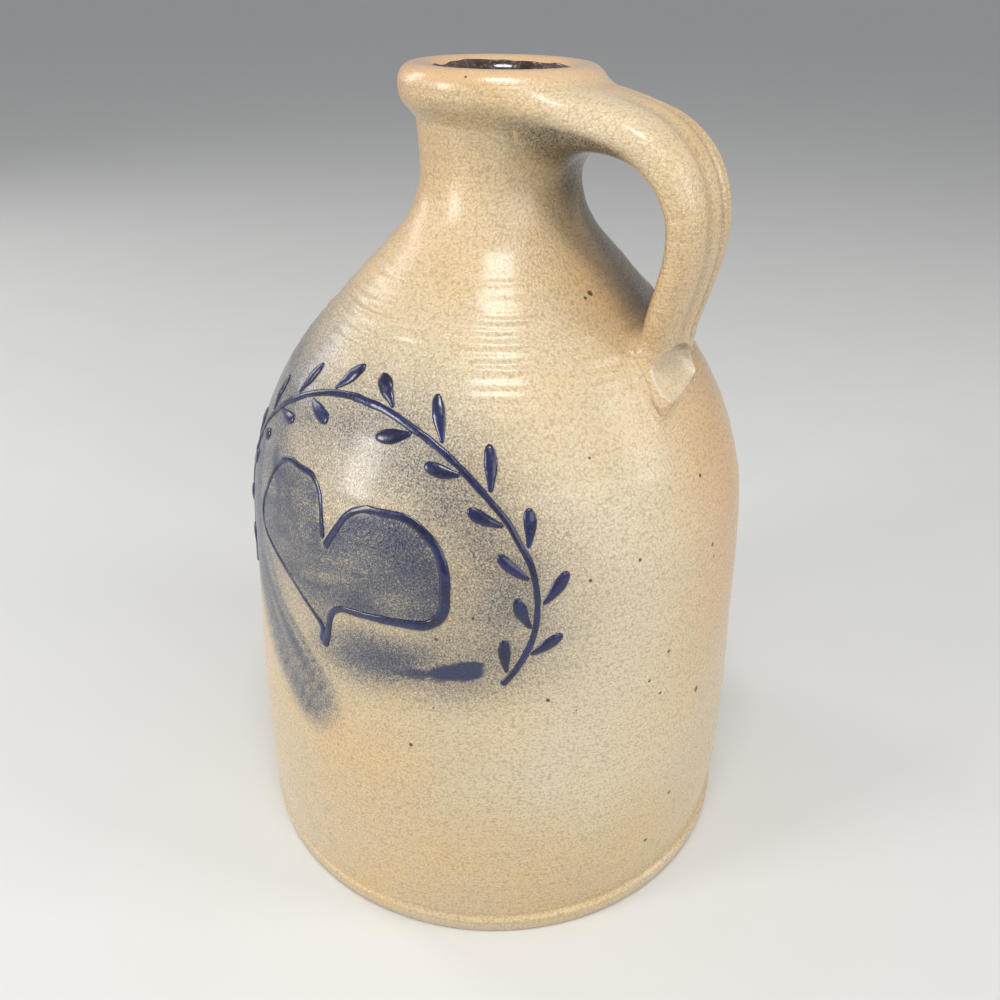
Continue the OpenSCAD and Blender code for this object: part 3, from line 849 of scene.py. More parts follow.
lining_turns = np.linspace(-np.pi, np.pi, 240, endpoint=False)
edge_drop = 1.35 + 0.45 * waves(lining_turns / (2 * np.pi) * 17, 0.5, 41, around=17)
edge_drop += 0.3 * waves(lining_turns / (2 * np.pi) * 41, 0.5, 42, around=41)
open_side = glaze_side(GLAZE)
open_side = open_side[open_side[:, 1] < jug_h - 0.35]
run = runs_of(open_side)
start = np.interp(edge_drop, jug_h - open_side[:, 1], run)
share = (run / run[-1]) ** 1.25
place = start[None, :] + (run[-1] - start[None, :]) * share[:, None]
glaze_r = np.interp(place, run, open_side[:, 0])
glaze_z = np.interp(place, run, open_side[:, 1])
way = np.stack([np.gradient(open_side[:, 0], run), np.gradient(open_side[:, 1], run)], -1)
way_r, way_z = np.interp(place, run, way[:, 0]), np.interp(place, run, way[:, 1])
sink = BACK - (BACK - EDGE_BACK) * np.exp(-(place - start[None, :]) / 0.8)
back_r, back_z = glaze_r - way_z * sink, glaze_z + way_r * sink
thin = 0.42 * np.exp(-(place - start[None, :]) / 0.7)
glaze_r, glaze_z = glaze_r - way_z * thin, glaze_z + way_r * thin
glaze_r[-1], back_r[-1] = 1.5, 1.5
lining_r = np.concatenate([glaze_r[::-1], back_r])
lining_z = np.concatenate([glaze_z[::-1], back_z])
lining = closed_skin("lining_glaze", np.stack(
    [lining_r * np.cos(lining_turns), lining_r * np.sin(lining_turns), lining_z], -1))

# %% [markdown]
# ## Trailed slip
# Slip trailed from a cup stands up as a rounded line. Its path is drawn on the wall as if the
# wall were unrolled: across is the distance round the belly from the middle of the front, and
# up is the height. Each ring of the line is a low dome whose ends lie just under the wall.

# %% Places on the wall
FRONT = np.radians(-92.5)
wall = outside[(outside[:, 1] > 5) & (outside[:, 1] < 250)]


def wall_r(up):
    """Radius of the plain wall at a height."""
    return np.interp(up, wall[:, 1], wall[:, 0])


def on_wall(across, up, lift):
    """A point above the wall, from its place on the unrolled front."""
    turn = FRONT + across / belly_r
    rise = wall_r(up + 0.5) - wall_r(up - 0.5)
    out, down = 1 / np.hypot(1, rise), rise / np.hypot(1, rise)
    high = lift + marks(up, turn)
    r = wall_r(up) + high * out
    return np.stack([r * np.cos(turn), r * np.sin(turn), up - high * down], -1)


def true_across(up):
    """Real distance round the wall at a height, for one millimetre round the belly."""
    return wall_r(up) / belly_r


print("the wall at the heart's height is", wall_r(134).round(1), "mm in radius")

# %% [markdown]
# ## A trailed line
# The path is cut into steps of 0.45 mm, and each step carries a ring: a dome above the wall and a
# shallow keel below it. Width, height and place wander by smooth bumps, as a hand does.

# %% Trails
TRAIL_STEP, SUNK = 0.45, 0.04  # gap between two rings, and how deep their edges lie in the wall


def trail(name, line, width, height, seed, sides=16):
    """A trailed line: domes across a path, with wandering edges. Width and height may vary."""
    run = runs_of(line)
    count = int(run[-1] / TRAIL_STEP)
    at = np.linspace(0, run[-1], count)
    across, up = (np.interp(at, run, line[:, k]) for k in range(2))
    wander = 0.28 * waves(at / 7, 0.5, seed)
    width = np.interp(at, run, width) * (1 + 0.13 * waves(at / 3.2, 0.5, seed + 1))
    height = np.interp(at, run, height) * (1 + 0.16 * waves(at / 4.3, 0.5, seed + 2))
    ends = np.clip(np.minimum(at, at[-1] - at) / (width / 2), 0, 1)
    ends = np.sqrt(1 - (1 - ends) ** 2) * 0.96 + 0.04
    way = unit(np.stack([np.gradient(across, at), np.gradient(up, at)], -1))
    angle = np.linspace(0, 2 * np.pi, sides, endpoint=False)
    side = np.cos(angle)[None, :] * (width * ends)[:, None] / 2 + wander[:, None]
    dome = np.where(np.sin(angle) > 0, np.abs(np.sin(angle)) ** 0.8, -0.3)
    lift = dome[None, :] * (height * ends)[:, None] - SUNK
    across = across[:, None] + way[:, 1:] * side / true_across(up)[:, None]
    up = up[:, None] - way[:, :1] * side
    grid = on_wall(across.ravel(), up.ravel(), lift.ravel()).reshape(count, sides, 3)
    return closed_skin(name, grid)


# %% [markdown]
# ## The heart
# The heart was drawn in two strokes from the cleft, and the slip pooled where each one began
# and turned. Its corners are shares of its half width and height, each with a rounding radius.

# %% Heart
HEART_HALF_W, HEART_H, HEART_FOOT = 41.5, 53.0, 108.0
right_shares = [
    (-0.01, 0.66, 0), (0.22, 0.94, 0.24), (1, 0.95, 0.33), (1.03, 0.365, 0.17),
    (0.09, 0.32, 0.14), (-0.03, 0, 0),
]
left_shares = [
    (-0.035, 0.7, 0), (-0.15, 1, 0.18), (-0.77, 1.01, 0.28), (-1.03, 0.54, 0.16),
    (-0.39, 0.33, 0.36), (-0.03, 0.135, 0.08), (-0.05, 0.02, 0),
]


def heart_line(shares):
    """A stroke from its shares: scaled to the heart, set on its foot, rounded and spread."""
    corners = np.array(shares) * [HEART_HALF_W, HEART_H, HEART_H] + [0, HEART_FOOT, 0]
    return spread(rounded(corners), lambda p: np.full(len(p), 0.6))


heart_strokes = [heart_line(right_shares), heart_line(left_shares)]
heart_parts = []
for number, line in enumerate(heart_strokes):
    share = runs_of(line) / runs_of(line)[-1]
    full = [2.1 + 1.3 * bell(share, 0.55, 0.22), 1.6 + 0.3 * bell(share, 0.3, 0.2)][number]
    width = full + 0.9 * bell(share, 1, 0.07) + 0.4 * bell(share, 0, 0.04)
    heart_parts.append(trail(f"heart_{number}", line, width, 0.22 * width, 50 + 5 * number))
heart = joined("heart_line", heart_parts)

# %% [markdown]
# ## The sprig
# Over the heart stands a sprig on an arch, which is the upper part of an ellipse: one long stem
# and two rows of leaves, each leaf one short press of the cup, narrow at the stem and full past
# its middle. Leaves take turns on the two sides of the stem and lean towards the top.

# %% Sprig
SPRIG_HALF_W, SPRIG_RISE = 70.0, 49.0
SPRIG_MIDDLE = HEART_FOOT + HEART_H / 2
SPRIG_FROM, SPRIG_TOP, SPRIG_GAP = np.radians([-32, 90, 8])
LEAF_COUNT, LEAF_LEN, LEAF_W, LEAF_LEAN = 24, 12.5, 3.8, np.radians(42)


def arch(angle):
    """Place on the stem's ellipse at an angle from its right end."""
    return np.stack([SPRIG_HALF_W * np.cos(angle), SPRIG_MIDDLE + SPRIG_RISE * np.sin(angle)], -1)


stem_line = arch(np.linspace(SPRIG_FROM, 2 * SPRIG_TOP - SPRIG_FROM, 400))
stem_width = 1.9 + 0.35 * bell(np.linspace(0, 1, 400), 0, 0.03)
stem = trail("sprig_stem_line", stem_line, stem_width, np.full(400, 0.6), 70)


def spin(vector, angle):
    """A flat vector turned by an angle."""
    cos, sin = np.cos(angle), np.sin(angle)
    return np.array([vector[0] * cos - vector[1] * sin, vector[0] * sin + vector[1] * cos])


def leaf(number, hand, side):
    """One leaf from the stem: a short line that leans and curls towards the top of the arch."""
    share = (number + 0.5) / (LEAF_COUNT / 2)
    angle = SPRIG_TOP + hand * (SPRIG_GAP + (SPRIG_TOP - SPRIG_FROM - SPRIG_GAP) * share)
    root = arch(angle)
    stretch = np.array([true_across(root[1]), 1])
    along = (arch(angle - hand * 0.02) - root) * stretch
    along /= np.hypot(*along)
    out = spin(along, side * hand * np.pi / 2)
    vary = waves(number * 3.7 + side, hand * 2.3 + 5, 81)
    way = spin(along, side * hand * (LEAF_LEAN + 0.16 * vary))
    t = np.linspace(0, 1, 24)[:, None]
    length = LEAF_LEN * (1 + 0.1 * vary)
    path = root + (out * 1.3 + way * length * t - out * length * 0.16 * t ** 2) / stretch
    full = LEAF_W * (0.3 + 0.7 * np.sin(np.pi * np.clip(t[:, 0] * 0.93, 0, 1) ** 1.25))
    height = 0.75 * full / LEAF_W + 0.1
    return trail(f"leaf_{number}_{hand}", path, full, height, 90 + 2 * number + hand)


leaves = joined("sprig_leaf_marks", [
    leaf(number, hand, 1 if number % 2 == 0 else -1)
    for number in range(LEAF_COUNT // 2) for hand in (-1, 1)
])

# %% [markdown]
# ## Where the blue wash went
# Colour that belongs to a place is kept as a number at each point of the mesh, and `wash` is the
# brushed blue. It fills the heart, lies thin round the arch and to the left, and ends in a few
# strokes that stand out. A stroke is the distance to its path, streaked by bristles. Places are
# millimetres across and up the unrolled front, as they were read from the photo.


# %% Brushed wash
def stroke(across, up, path, half_w, start, end, seed):
    """Strength of a brush stroke along a path of a few points, from its start to its end."""
    path = np.array(path, float)
    total, done = runs_of(path)[-1], 0.0
    best, at, side = np.full(across.shape, 1e9), np.zeros(across.shape), np.zeros(across.shape)
    for a, b in zip(path[:-1], path[1:]):
        leg, length = b - a, np.hypot(*(b - a))
        share = np.clip(((across - a[0]) * leg[0] + (up - a[1]) * leg[1]) / length ** 2, 0, 1)
        gap = np.hypot(across - a[0] - share * leg[0], up - a[1] - share * leg[1])
        nearer = gap < best
        at = np.where(nearer, (done + share * length) / total, at)
        side = np.where(nearer, ((across - a[0]) * leg[1] - (up - a[1]) * leg[0]) / length, side)
        best, done = np.minimum(best, gap), done + length
    bristle = 0.72 + 0.28 * waves(at * total / 16, side / 1.5, seed)
    return (start + (end - start) * at) * fade(best, half_w * 1.3, half_w * 0.4) * bristle


def painted(points):
    """How much blue wash lies at each point of the body."""
    turn = np.arctan2(points[:, 1], points[:, 0])
    across = ((turn - FRONT + np.pi) % (2 * np.pi) - np.pi) * belly_r
    up = points[:, 2]
    off_arch = (np.hypot(across / SPRIG_HALF_W, (up - SPRIG_MIDDLE) / SPRIG_RISE) - 1) * 58
    halo = (0.36 * bell(off_arch, 0, 16) + 0.32 * fade(off_arch, 8, -12)) * fade(up, 90, 114)
    left = 0.72 * fade(across, 6, -44) * fade(across, -118, -88)
    left *= fade(up, 88, 116) * fade(up, 212, 178)
    smoky = bell(across, 18, 29) * bell(up, 112 + 0.12 * (across - 22), 11)
    halo = np.maximum(np.maximum(halo, left), smoky)
    both = np.concatenate([heart_strokes[0][::-1], heart_strokes[1]])
    within = fade(outline_distance(both, across, up), 2.5, -2.5)
    cloud = waves(across / 13 + 20, up / 7, 61)
    streak = waves(across / 15 + up / 21 + 20, up / 3.1 - across / 11, 64)
    wash = np.maximum(halo * (0.95 + 0.16 * cloud), within * (0.86 + 0.12 * cloud + 0.2 * streak))
    for path, half_w, start, end in (
        ([(-36, 158), (-29, 152), (-24, 138), (-20, 128)], 5.5, 1.25, 0.9),
        ([(-21, 151), (-12, 143), (-6, 138)], 4.0, 1.15, 0.9),
        ([(10, 139), (22, 142), (33, 140)], 3.4, 1.15, 0.9),
        ([(8, 132), (24, 130), (36, 136)], 4.5, 0.95, 1.0),
        ([(51, 113.5), (46, 112.5), (40, 111)], 3.4, 3.2, 1.8),
        ([(42, 111.5), (34, 109.5), (22, 108)], 1.8, 2.0, 1.0),
        ([(-58, 146), (-48, 124), (-33, 105), (-11, 88)], 16.0, 1.9, 1.0),
    ):
        wash = np.maximum(wash, stroke(across, up, path, half_w, start, end, int(half_w * 10)))
    return np.where(np.hypot(points[:, 0], points[:, 1]) > 30, wash, 0)


print("wash in the middle of the heart:", painted(on_wall(np.zeros(1), np.full(1, 134.0), 0)).round(2))

# %% [markdown]
# ## What the fire left, with painted light and shade
# `toast` is the orange flush of the flame. The smoke number is partly brown flashing where no salt
# came and partly painted shade: under the handle's root, in the crease below the rim's bead and
# above the foot's step. The ash number is the pale skin where the salt lay thickest, with painted
# light on the front of the neck and on the strap. `bare` is the salmon crest that the salt hardly
# reached. Each is made of soft humps, placed by azimuth in degrees and height in millimetres.

# %% Marks of the fire, with painted light and shade
def azimuth(points):
    """Degrees round the jug: 0 at the handle and about -92 at the middle of the front."""
    return np.degrees(np.arctan2(points[:, 1], points[:, 0]))


def flushed(points):
    """The orange flush: the wall below the handle, the neck beside it, the neck's left side and
    a breath of it low on the front."""
    turn = azimuth(points)
    side = bell((turn - 14 + 180) % 360 - 180, 0, 26) * fade(points[:, 2], 60, 130)
    neck_side = bell(turn, -13, 15) * bell(points[:, 2], 209, 14)
    neck_left = bell(turn, -138, 26) * fade(points[:, 2], 214, 236)
    neck_flush = 0.22 * fade(points[:, 2], 196, 222) + 0.5 * neck_left
    neck_flush += 0.16 * bell(turn, -100, 40) * fade(points[:, 2], 110, 70)
    return np.maximum(side * fade(points[:, 2], 215, 150), np.maximum(neck_flush, 0.75 * neck_side))


def smoked_and_shaded(points):
    """Brown flashing and painted shade: the neck's side under the handle's root, where the handle kept
    the salt away and its shade falls, and painted shade in the crease below the rim's bead and above
    the foot's step."""
    turn = azimuth(points)
    z = points[:, 2]
    under_root = bell(turn, 22, 22) * fade(z, 182, 200) * fade(z, 262, 250)
    beside_root = 0.9 * bell(turn, 2, 24) * fade(z, 210, 240) * fade(z, 262, 252)
    under_root = np.maximum(under_root, beside_root)
    bead = 0.6 * bell(z, 255.6, 3.6) * fade(np.hypot(points[:, 0], points[:, 1]), 24, 25)
    above_foot = 0.22 * bell(z, foot_h + 3, 3) * bell(turn, -20, 50)
    return np.maximum(np.maximum(1.3 * under_root, bead), above_foot)


def ashen_and_lit(points):
    """Pale grey cream where the salt lay thickest, on the front's right side and the shoulder over the
    sprig, and painted light on the front of the neck."""
    turn = azimuth(points)
    z = points[:, 2] + 9 * waves(turn / 12, 0.5, 63)
    right = bell(turn, -34, 24) * fade(z, 30, 70) * fade(z, 182, 160)
    shoulder_zone = 0.9 * bell(z, 178, 25) * bell(turn, -84, 46)
    neck_front = 0.5 * bell(z, 226, 14) * bell(turn, -66, 34)
    return np.maximum(np.maximum(right, shoulder_zone), neck_front)


def crest_share(points):
    """Bare salmon clay on the crest of the rim, down to the edge of the lining glaze."""
    r = np.hypot(points[:, 0], points[:, 1])
    ragged = 0.8 * waves(np.arctan2(points[:, 1], points[:, 0]) * 5 / np.pi + 5, 0.5, 62, around=10)
    return fade(points[:, 2] + ragged, 261.5, 266.3) * fade(r, 18, 20)


for mark in (flushed, smoked_and_shaded, ashen_and_lit, crest_share):
    print(mark.__name__, "reaches", mark(points_of(body)).max().round(2))

# %% [markdown]
# ## One set of colours for body and strap
# No seam may show where the two skins meet, so both take their numbers from one function. It
# reads the body's marks everywhere and blends into the strap's own over 18 mm, by which of the
# two distances is smaller.

# %% Numbers on the skins
def colours_at(points, near):
    """Flush, bare, smoke with painted shade, and ash with painted light, of body and strap alike,
    blended over the joints so that no seam shows. Only the points that are near the strap are
    measured against it."""
    numbers = dict(
        toast=flushed(points), bare=crest_share(points), smoke_and_shade=smoked_and_shaded(points), ash_and_light=ashen_and_lit(points)
    )
    close = points[near]
    run, across, up, over = strap_place(close)
    strap_share = run / strap_len
    blend = fade(body_distance(close) - strap_distance(close), -9, 9)
    in_groove = np.where(up > 0, grooves(run, across), 0)
    under_root = fade(up, 1, -4) * fade(run, 44, 24)
    hollow = fade(thumb_scoop(over, across, up), 1.2, -0.2) * fade(over, -25, -21)
    crescent = hollow * fade(thumb_plan(CUT_RUN + over, across)[0], -3, -9)
    # On the strap the smoke number is painted shade in the finger grooves, under the root and in the
    # crescent at the top of the thumb's hollow; the ash number is painted light on the hollow's floor
    # and a painted highlight on the upper strap's left flank.
    on_strap = dict(
        toast=0.35 * fade(strap_share, 0.2, 0.8) * (1 - hollow),
        bare=0.6 * fade(strap_share, 0.45, 0.05) * fade(across, -16, 2) + 0.45 * hollow,
        smoke_and_shade=np.clip(0.6 * in_groove + 1.2 * under_root + 0.66 * crescent, 0, 1.2),
        ash_and_light=np.maximum(1.3 * hollow, 0.7 * fade(across, 2, -10) * fade(strap_share, 0.6, 0.2)),
    )
    for name, values in on_strap.items():
        numbers[name][near] += blend * (values - numbers[name][near])
    return numbers


def set_numbers(piece, **numbers):
    """Stores one number a point under each name, for the materials to read."""
    for name, values in numbers.items():
        attribute = piece.data.attributes.new(name, "FLOAT", "POINT")
        attribute.data.foreach_set("value", np.asarray(values, np.float32))


body_at, strap_at = points_of(body), points_of(strap)
body_wash = painted(body_at)
set_numbers(body, wash=body_wash, **colours_at(body_at, beside_strap(body_at)))
set_numbers(strap, wash=painted(strap_at), **colours_at(strap_at, np.ones(len(strap_at), bool)))
print("share of the body's points in the blue wash:", (body_wash > 0.1).mean().round(2))

# %% [markdown]
# ## Building a finish from nodes
# One helper adds any node. It takes the node's kind and its inputs, each a number, a colour or
# the socket of another node, and then its settings. It gives back the socket that the node puts
# out. Pattern scales are written as 1000 divided by the real size of the pattern in millimetres,
# because Object coordinates run in metres.


# %% Node helper
def add(tree, kind, inputs, out=None, **settings):
    """Adds a node of a kind and returns its first live output, or the one named by out."""
    node = tree.nodes.new("ShaderNode" + kind)
    for key, value in settings.items():
        setattr(node, key, value)
    for key, value in inputs.items():
        sockets = [s for s in node.inputs if s.enabled]
        socket = sockets[key] if isinstance(key, int) else next(s for s in sockets if s.name == key)
        if isinstance(value, bpy.types.NodeSocket):
            tree.links.new(value, socket)
        else:
            socket.default_value = value
    return next(s for s in node.outputs if s.enabled and out in (None, s.name))


def hex_colour(code):
    """An sRGB colour such as #C0A070 as the linear numbers that a shader takes."""
    srgb = np.array([int(code[i:i + 2], 16) for i in (1, 3, 5)]) / 255
    linear = np.where(srgb <= 0.04045, srgb / 12.92, ((srgb + 0.055) / 1.055) ** 2.4)
    return (*linear, 1.0)


def new_finish(name, **constants):
    """A material with one shader, its constants set on the shader's own sockets."""
    material = bpy.data.materials.new(name)
    material.use_nodes = True
    tree = material.node_tree
    shader = tree.nodes["Principled BSDF"]
    for key, value in constants.items():
        shader.inputs[key.replace("_", " ")].default_value = value
    return material, tree, shader, add(tree, "TexCoord", {}, out="Object")


def plug(tree, node, **sockets):
    """Links sockets to the inputs of the same names, with spaces for the low lines."""
    for key, value in sockets.items():
        tree.links.new(value, node.inputs[key.replace("_", " ")])


print("a mid tan in linear light:", np.round(hex_colour("#C0A070"), 3))

# %% [markdown]
# ## Salt glaze
# Salt vapour melts the skin of the clay into a thin glaze that beads like the peel of an orange.
# The eye sees several scales at once: clouds of warmer and greyer tan some 45 mm across, level
# scoring from the potter's rib, a mottle of about 1 mm, and the peel itself, beads of 0.85 mm
# that break every highlight into glitter.

# %% Patterns of the salt glaze
salt_glaze, tree, shader, place = new_finish(
    "salt_glaze_on_stoneware", IOR=1.5, Coat_Weight=0.45, Coat_Roughness=0.2, Coat_IOR=1.5)
own = {
    name: add(tree, "Attribute", {}, out="Fac", attribute_name=name)
    for name in ("wash", "toast", "bare", "smoke_and_shade", "ash_and_light")
}
level = add(tree, "Mapping", {"Vector": place, "Scale": (1, 1, 26)})
patterns = {}
for name, vector, size_mm, detail, roughness, lowest, highest in (
    ("cloud", place, 45, 3, 0.6, 0.36, 0.66),
    ("mottle", place, 1.1, 2.5, 0.6, 0.36, 0.7),
    ("grain", place, 0.5, 1, 0.5, 0.3, 0.7),
    ("scoring", level, 38, 2, 0.5, 0.3, 0.7),
):
    noise = add(tree, "TexNoise", {
        "Vector": vector, "Scale": 1000 / size_mm, "Detail": detail, "Roughness": roughness})
    patterns[name] = add(tree, "MapRange", {
        "Value": noise, "From Min": lowest, "From Max": highest})
cloud, mottle, grain, scoring = patterns.values()
peel = add(tree, "TexVoronoi", {"Vector": place, "Scale": 1000 / 0.85}, out="Distance")
print("numbers read:", list(own), "and patterns:", list(patterns))

# %% [markdown]
# ## Iron
# Grains of iron in the clay burned through as dark dots. Small ones are strewn by cells of
# 8.5 mm: about two cells in five hold a dot, and its size is drawn from the cell's own colour.
# The larger specks of the photo have places of their own on the wall.

# %% Specks of iron
DOT_PICK, DOT_MAX, DOT_EDGE = 0.6, 0.075, 45.0  # least pick, largest radius in cells, sharpness
cells = {"Vector": place, "Scale": 1000 / 8.5}
dot_gap = add(tree, "TexVoronoi", cells, out="Distance")
dot_pick = add(tree, "TexVoronoi", cells, out="Color")
dot_pick = add(tree, "SeparateColor", {"Color": dot_pick}, out="Red")
dot_r = add(tree, "MapRange", {"Value": dot_pick, "From Min": DOT_PICK, "To Max": DOT_MAX})
iron = add(tree, "Math", {0: dot_r, 1: dot_gap}, operation="SUBTRACT")
iron = add(tree, "Math", {0: iron, 1: DOT_EDGE}, operation="MULTIPLY", use_clamp=True)
SPECKS = (  # turn in degrees, height and radius in millimetres of each larger speck of iron
    (-72.5, 82.5, 0.6), (-5.5, 82.3, 1.0), (-3, 136, 0.6), (-17, 107, 0.6), (-22, 99, 0.5),
    (-45, 102, 0.6), (-37, 141, 0.5), (-67, 123, 0.5), (-109, 88, 0.6), (-41, 243.2, 1.3),
    (-16.5, 209, 0.8), (-20, 208.2, 0.5), (-4.8, 159.2, 0.6), (-25.8, 143.5, 0.5),
    (-12.8, 44, 0.7), (-19.2, 27.8, 0.7), (-18.5, 91.8, 0.5),
)
for turn, up, speck_r in SPECKS:
    across = (np.radians(turn) - FRONT) * belly_r
    centre = on_wall(np.array([across]), np.array([up]), 0)[0] * MM
    gap = add(tree, "VectorMath", {0: place, 1: tuple(centre)}, out="Value", operation="DISTANCE")
    speck = add(tree, "MapRange", {
        "Value": gap, "From Min": 1.3 * speck_r * MM, "From Max": 0.9 * speck_r * MM})
    iron = add(tree, "Math", {0: iron, 1: speck}, operation="MAXIMUM")
print(len(SPECKS), "larger specks of iron")

# %% [markdown]
# ## Where salt, smoke, painted shade and wash lie
# Bare clay took no salt, so it has neither mottle nor pits. Smoke and painted shade gather in the
# mottle first and turn from brown to soot and deep painted shade where they are strongest. The wash
# is thin: the grain of the peel shows through it until the brush was full, and then it is a deeper
# blue.

# %% Shares of salt, smoke with painted shade, and wash
salted = add(tree, "Math", {0: own["bare"], 1: -1.3, 2: 1.0},
             operation="MULTIPLY_ADD", use_clamp=True)
salted_mottle = add(tree, "Math", {0: mottle, 1: salted}, operation="MULTIPLY")
pits = add(tree, "MapRange", {"Value": peel, "From Min": 0.42, "From Max": 0.85})
salted_pits = add(tree, "Math", {0: pits, 1: salted}, operation="MULTIPLY")

# Smoke with painted shade: brown where it is weak, and soot with deep painted shade under the handle's
# root where it is strongest.
soot_and_deep_shade = add(tree, "MapRange", {"Value": own["smoke_and_shade"], "From Min": 0.55, "From Max": 1.15})
smoke_and_shade_tone = add(tree, "Mix", {
    "Factor": soot_and_deep_shade, "A": hex_colour("#624D34"), "B": hex_colour("#1F170F")}, data_type="RGBA")
smoke_and_shade = add(tree, "Math", {0: mottle, 1: 0.5, 2: 0.5}, operation="MULTIPLY_ADD")
smoke_and_shade = add(tree, "Math", {0: smoke_and_shade, 1: own["smoke_and_shade"]}, operation="MULTIPLY")
smoke_and_shade = add(tree, "Math", {0: soot_and_deep_shade, 1: 0.4, 2: smoke_and_shade}, operation="MULTIPLY_ADD")

wash_grain = add(tree, "Math", {0: grain, 1: -0.5}, operation="ADD")
wash_near = add(tree, "MapRange", {"Value": own["wash"], "From Max": 0.3})
wash_grain = add(tree, "Math", {0: wash_grain, 1: wash_near}, operation="MULTIPLY")
wash = add(tree, "Math", {0: wash_grain, 1: -0.55, 2: own["wash"]}, operation="MULTIPLY_ADD")
thin_wash = add(tree, "MapRange", {"Value": wash, "From Min": 0.02, "From Max": 0.75})
full_wash = add(tree, "MapRange", {"Value": wash, "From Min": 0.6, "From Max": 1.15})
print("salt glaze so far:", len(tree.nodes), "nodes")

# %% [markdown]
# ## Layers of colour
# The colour is laid on in layers: grey tan clay and warm clouds, what the glaze and the fire did
# to it together with painted shade under the handle and painted light on the neck and the strap,
# the painted light and shade of the beads, and on top the blue wash and the iron. Each layer
# mixes in its own colour by a share, which says where it lies, times an amount.

# %% Colour, gloss and relief of the salt glaze
colour = hex_colour("#CDBB98")
layers = (
    (hex_colour("#D6B781"), cloud, 1.0),
    (hex_colour("#A99170"), salted_mottle, 0.34),
    (hex_colour("#B2966C"), scoring, 0.2),
    (hex_colour("#C98F4C"), own["toast"], 0.74),
    (hex_colour("#C98F64"), own["bare"], 0.55),
    # Ash is a pale tone with painted light, and smoke is brown flashing with painted shade.
    (hex_colour("#DACFB8"), own["ash_and_light"], 0.62),
    (smoke_and_shade_tone, smoke_and_shade, 0.92),
    # Painted light on the raised grain of the beads, and painted shade in the pits between them.
    (hex_colour("#EBDAB4"), grain, 0.34),
    (hex_colour("#8C7458"), salted_pits, 0.44),
    (hex_colour("#5C5D60"), thin_wash, 0.94),
    (hex_colour("#202A4A"), full_wash, 1.0),
    (hex_colour("#2E1D12"), iron, 0.9),
)
for tone, share, amount in layers:
    share = add(tree, "Math", {0: share, 1: amount}, operation="MULTIPLY", use_clamp=True)
    colour = add(tree, "Mix", {"Factor": share, "A": colour, "B": tone}, data_type="RGBA")

gloss = add(tree, "MapRange", {"Value": mottle, "To Min": 0.24, "To Max": 0.42})
gloss = add(tree, "Math", {0: own["bare"], 1: -0.12, 2: gloss}, operation="MULTIPLY_ADD")

# The beads stand about 0.15 mm proud of the pits between them, and the scoring about 0.1 mm.
relief = add(tree, "Math", {0: grain, 1: 0.4}, operation="MULTIPLY", use_clamp=True)
relief = add(tree, "Math", {0: peel, 1: -0.9, 2: relief}, operation="MULTIPLY_ADD")
relief = add(tree, "Math", {0: scoring, 1: 0.55, 2: relief}, operation="MULTIPLY_ADD")
beaded = add(tree, "MapRange", {"Value": salted, "To Min": 0.25})
relief = add(tree, "Math", {0: relief, 1: beaded}, operation="MULTIPLY")
relief = add(tree, "Bump", {"Height": relief, "Distance": 0.21 * MM, "Strength": 0.9})
plug(tree, shader, Base_Color=colour, Roughness=gloss, Normal=relief)
print("salt glaze:", len(layers), "layers of colour,", len(tree.nodes), "nodes")

# %% [markdown]
# ## Blue slip
# Trailed cobalt slip stands thick and glassy, almost black where it pooled and bluer where it
# ran thin. Seeds, tiny burst bubbles of 0.9 mm, show as paler and rougher points.

# %% Blue slip material
cobalt, tree, shader, place = new_finish(
    "trailed_cobalt_slip", IOR=1.5, Coat_Weight=0.35, Coat_Roughness=0.12)
pool = add(tree, "TexNoise", {"Vector": place, "Scale": 1000 / 6, "Detail": 3})
pool = add(tree, "MapRange", {"Value": pool, "From Min": 0.35, "From Max": 0.68})
seeds = add(tree, "TexNoise", {"Vector": place, "Scale": 1000 / 0.9, "Detail": 1})
seed_part = add(tree, "MapRange", {"Value": seeds, "From Min": 0.6, "From Max": 0.78, "To Max": 0.25})
colour = hex_colour("#0D1030")
for tone, share in ((hex_colour("#1C2454"), pool), (hex_colour("#555C80"), seed_part)):
    colour = add(tree, "Mix", {"Factor": share, "A": colour, "B": tone}, data_type="RGBA")
gloss = add(tree, "MapRange", {"Value": seeds, "To Min": 0.18, "To Max": 0.42})
relief = add(tree, "Bump", {"Height": seeds, "Distance": 0.1 * MM, "Strength": 0.6})
plug(tree, shader, Base_Color=colour, Roughness=gloss, Normal=relief)
print("blue slip:", len(tree.nodes), "nodes")

# %% [markdown]
# ## Lining glaze
# The lining glaze is a brown so dark that mostly its shine shows the throat. It ran down the
# wall, so its flow is a noise of 5 mm drawn out to four times that in height, with pale flecks.

# %% Lining glaze material
dark_glaze, tree, shader, place = new_finish(
    "dark_lining_glaze", IOR=1.55, Coat_Weight=0.6, Coat_Roughness=0.08)
run_down = add(tree, "Mapping", {"Vector": place, "Scale": (1, 1, 0.25)})
flow = add(tree, "TexNoise", {"Vector": run_down, "Scale": 1000 / 5, "Detail": 3})
flow = add(tree, "MapRange", {"Value": flow, "From Min": 0.35, "From Max": 0.7})
fleck = add(tree, "TexNoise", {"Vector": place, "Scale": 1000 / 1.1, "Detail": 1})
fleck = add(tree, "MapRange", {"Value": fleck, "From Min": 0.56, "From Max": 0.7, "To Max": 0.6})
colour = hex_colour("#241A15")
for tone, share in ((hex_colour("#4A362A"), flow), (hex_colour("#8A6F60"), fleck)):
    colour = add(tree, "Mix", {"Factor": share, "A": colour, "B": tone}, data_type="RGBA")
gloss = add(tree, "MapRange", {"Value": flow, "To Min": 0.1, "To Max": 0.3})
relief = add(tree, "Bump", {"Height": flow, "Distance": 0.25 * MM, "Strength": 0.5})
plug(tree, shader, Base_Color=colour, Roughness=gloss, Normal=relief)
print("lining glaze:", len(tree.nodes), "nodes")
